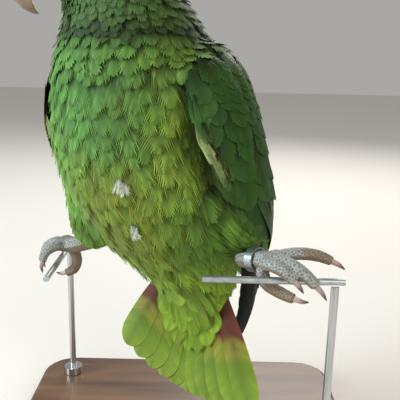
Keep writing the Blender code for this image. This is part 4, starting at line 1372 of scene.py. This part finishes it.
horn, nodes, link, shader = plain_finish(
    "bill_horn", (0.5, 0.4, 0.3), 0.32,
    Specular_IOR_Level=0.5, Subsurface_Weight=0.15, Subsurface_Scale=2 * MM,
)
wavering = nodes.new("ShaderNodeMath")
wavering.operation = "MULTIPLY_ADD"
wavering.inputs[1].default_value = 5 * MM
link(noise(nodes, link, 160, 4), wavering.inputs[0])
link(object_gap(nodes, link, BILL_ROOT), wavering.inputs[2])
stops = (
    (0.0, (0.30, 0.24, 0.20)),
    (0.22, (0.48, 0.36, 0.27)),
    (0.55, (0.56, 0.40, 0.29)),
    (0.80, (0.44, 0.32, 0.23)),
    (1.0, (0.20, 0.145, 0.11)),
)
link(ramp(nodes, link, wavering.outputs[0], stops, 0.002, 0.031), shader.inputs["Base Color"])
scaled = nodes.new("ShaderNodeMath")
scaled.operation = "MULTIPLY"
scaled.inputs[1].default_value = GROWTH_LINES
link(wavering.outputs[0], scaled.inputs[0])
growth = nodes.new("ShaderNodeMath")
growth.operation = "SINE"
link(scaled.outputs[0], growth.inputs[0])
add_bump(nodes, link, shader, growth.outputs[0], 0.25, 0.10 * MM)
for node in ("beak_upper", "beak_lower"):
    bill = smooth_copy(node, 16, 0.5 * MM)
    bill.data.materials.append(horn)

cere_finish, nodes, link, shader = plain_finish("cere_skin", (0.10, 0.095, 0.09), 0.5)
add_bump(nodes, link, shader, noise(nodes, link, 900), 0.6, 0.25 * MM)
rows = []
for share in np.linspace(0, 1, 15):
    swell = math.sin(math.pi * share) ** 0.6
    row = []
    for turn in np.radians(np.linspace(-CERE_SIDE, CERE_SIDE, 61)):
        side_fade = math.cos(turn * 0.9) ** 0.5
        out = -0.6 + 2.2 * swell * side_fade
        for nostril in (-1, 1):
            pit = math.hypot((turn - nostril * NOSTRIL_TURN) * 10, (share - NOSTRIL_SHARE) * 5.2)
            out -= 1.9 * math.exp(-((pit / 1.05) ** 2)) - 0.55 * math.exp(-(((pit - 1.9) / 0.6) ** 2))
        across = (8.5 + out) * math.sin(turn)
        up = 3.3 - 0.8 * share + (9.5 - 0.5 * share + out) * math.cos(turn)
        ahead = 19.0 + 6.0 * share
        row.append(HEAD_MIDDLE + (HEAD_FRONT * ahead + HEAD_LEFT * across + HEAD_UP * up) * MM)
    rows.append(row)
cere = new_object("cere", grid_mesh("cere", np.array(rows), False))
if cere.data.polygons[len(cere.data.polygons) // 2].normal.dot(Vector(HEAD_UP)) < 0:
    cere.data.flip_normals()
thicken = cere.modifiers.new("thick", "SOLIDIFY")
thicken.thickness = 1.6 * MM
thicken.offset = -1
settle(cere)
dress(cere.data, cere_finish)
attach(cere, "root")

# ---------------------------------------------------------------------------------------------
# Feet. Grey skin under small round raised scales with pale seams, and worn brown pads below. The
# outer and hind toes of each foot are worn brown. Each scale is a low dome pressed out of the skin.

FOOT_GRAIN = 0.34 * MM
SCALE_GAP = 1.35 * MM
SCALE_RISE = 0.30 * MM
SEAM_WIDTH = 0.40
SCALE_GREY = np.array((0.175, 0.190, 0.182))
SEAM_PALE = np.array((0.560, 0.560, 0.515))
PAD_BROWN = np.array((0.165, 0.115, 0.070))
WORN_BROWN = np.array((0.215, 0.150, 0.088))
GREY_TOES, WORN_TOES = ("inner", "middle"), ("outer", "hind")

foot_finish = painted_finish(
    "foot_skin", (0.3, 0.3, 0.3), 0.62, (1500, 4), 0.45, 0.12 * MM, Specular_IOR_Level=0.35
)


def claw_gap(points, side, toes):
    """Each point's distance to the nearest claw of the named toes."""
    claws = np.concatenate([corners_of("claw_" + side + "_" + toe)[::8] for toe in toes])
    return np.sqrt(((points[:, None] - claws[None]) ** 2).sum(2)).min(1)


for side in ("left", "right"):
    foot = smooth_copy("foot_" + side, 4, FOOT_GRAIN)
    centres = scattered(
        foot.data,
        lambda points: np.full(len(points), True),
        lambda points: np.full(len(points), SCALE_GAP),
        24000,
    )
    finder = KDTree(len(centres))
    for k, centre in enumerate(centres):
        finder.insert(centre, k)
    finder.balance()
    points, normals = points_of(foot.data), normals_of(foot.data)
    nearest = np.array([[gap for _, _, gap in finder.find_n(Vector(point), 2)] for point in points])
    seam = 1 - ease(0.0, SEAM_WIDTH, (nearest[:, 1] - nearest[:, 0]) / MM)
    below = ease(0.15, 0.65, -normals[:, 2])
    dome = (1 - seam) * (1 - 0.35 * np.clip(nearest[:, 0] / SCALE_GAP, 0, 1))
    rise = (dome - 0.75) * SCALE_RISE * (1 - 0.5 * below)
    move_points(foot.data, points + normals * rise[:, None])
    grey = SCALE_GREY * rng.uniform(0.8, 1.25, (len(centres), 1))
    scale_of = np.array([finder.find(Vector(point))[1] for point in points])
    colour = mix(grey[scale_of], SEAM_PALE, seam * 0.9)
    rim = ease(0.45, 0.75, nearest[:, 0] / SCALE_GAP) * (1 - seam)
    colour = mix(colour, SEAM_PALE * 0.8, rim * 0.25)
    nearer = claw_gap(points, side, GREY_TOES) - claw_gap(points, side, WORN_TOES)
    worn = ease(-2.5, 3.5, nearer / MM)
    colour = mix(colour, WORN_BROWN * (0.75 + 0.75 * seam[:, None]), worn * 0.8)
    colour = mix(colour, PAD_BROWN * (1 + 0.5 * seam[:, None]), below)
    paint(foot, colour)
    foot.data.materials.append(foot_finish)

# ---------------------------------------------------------------------------------------------
# Claws. Curved horn set in the end of each toe, pinkish grey at the root and dark at the point,
# with a fine uneven grain.

CLAW_GRAIN = 0.35 * MM
CLAW_HORN = (
    (0.0, (0.035, 0.028, 0.026)),
    (0.30, (0.12, 0.085, 0.075)),
    (0.62, (0.36, 0.25, 0.23)),
    (1.0, (0.44, 0.35, 0.32)),
)

for side in ("left", "right"):
    for toe in GREY_TOES + WORN_TOES:
        node = "claw_" + side + "_" + toe
        corners = corners_of(node)
        foot_corners = corners_of("foot_" + side)
        from_foot = np.array([((foot_corners - corner) ** 2).sum(1).min() for corner in corners])
        claw_tip = corners[from_foot.argmax()]
        claw_length = math.sqrt(from_foot.max())
        claw = smooth_copy(node, 3, CLAW_GRAIN)
        finish, nodes, link, shader = plain_finish(node, (0.4, 0.3, 0.28), 0.35)
        gap = object_gap(nodes, link, claw_tip)
        link(ramp(nodes, link, gap, CLAW_HORN, 0.0, claw_length * 1.1), shader.inputs["Base Color"])
        add_bump(nodes, link, shader, noise(nodes, link, 700, 3), 0.3, 0.10 * MM)
        claw.data.materials.append(finish)



# ---------------------------------------------------------------------------------------------
# Leg ring. A closed band of dull aluminium round the left leg, rolled from strip and finely
# scratched.

RING_DULL, RING_BRIGHT = (0.20, 0.23, 0.23), (0.42, 0.46, 0.46)


def grained(name, node, dark, light, scale, stretch, roughness, metallic=0.0, depth=0.05 * MM, **more):
    """Gives a CAD node a finish between two colours along a stretched noise, also its grain."""
    finish, nodes, link, shader = plain_finish(name, light, roughness, metallic, **more)
    grain = noise(nodes, link, scale, 5, stretch)
    link(ramp(nodes, link, grain, ((0.0, dark), (1.0, light)), 0.32, 0.68), shader.inputs["Base Color"])
    add_bump(nodes, link, shader, grain, 0.4, depth)
    dress(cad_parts[node].data, finish)


grained("ring_metal", "leg_ring", RING_DULL, RING_BRIGHT, 900, (1, 1, 4), 0.38, 0.9)

# ---------------------------------------------------------------------------------------------
# Perch wires and stand. Two short lengths of zinc-coated wire under the feet, each held by a
# brushed steel rod with a collar, on an oiled wooden base with a rounded edge.

WIRE_ZINC = ((0.36, 0.40, 0.40), (0.60, 0.66, 0.66))
grained("zinc_front", "perch_wire_front", *WIRE_ZINC, 420, (0.35, 1, 1), 0.40, 0.85)
grained("zinc_side", "perch_wire_side", *WIRE_ZINC, 420, (1, 0.35, 1), 0.40, 0.85)
STEEL = ((0.42, 0.43, 0.44), (0.62, 0.62, 0.62))
for node in ("stand_rod_front", "stand_rod_side"):
    grained(node + "_steel", node, *STEEL, 1400, (1, 1, 0.03), 0.30, 1.0)
WOOD_DARK, WOOD_LIGHT = (0.060, 0.028, 0.014), (0.190, 0.095, 0.045)
grained(
    "oiled_wood", "stand_base", WOOD_DARK, WOOD_LIGHT, 70, (0.12, 1, 1), 0.42,
    depth=0.12 * MM, Coat_Weight=0.25, Coat_Roughness=0.25,
)
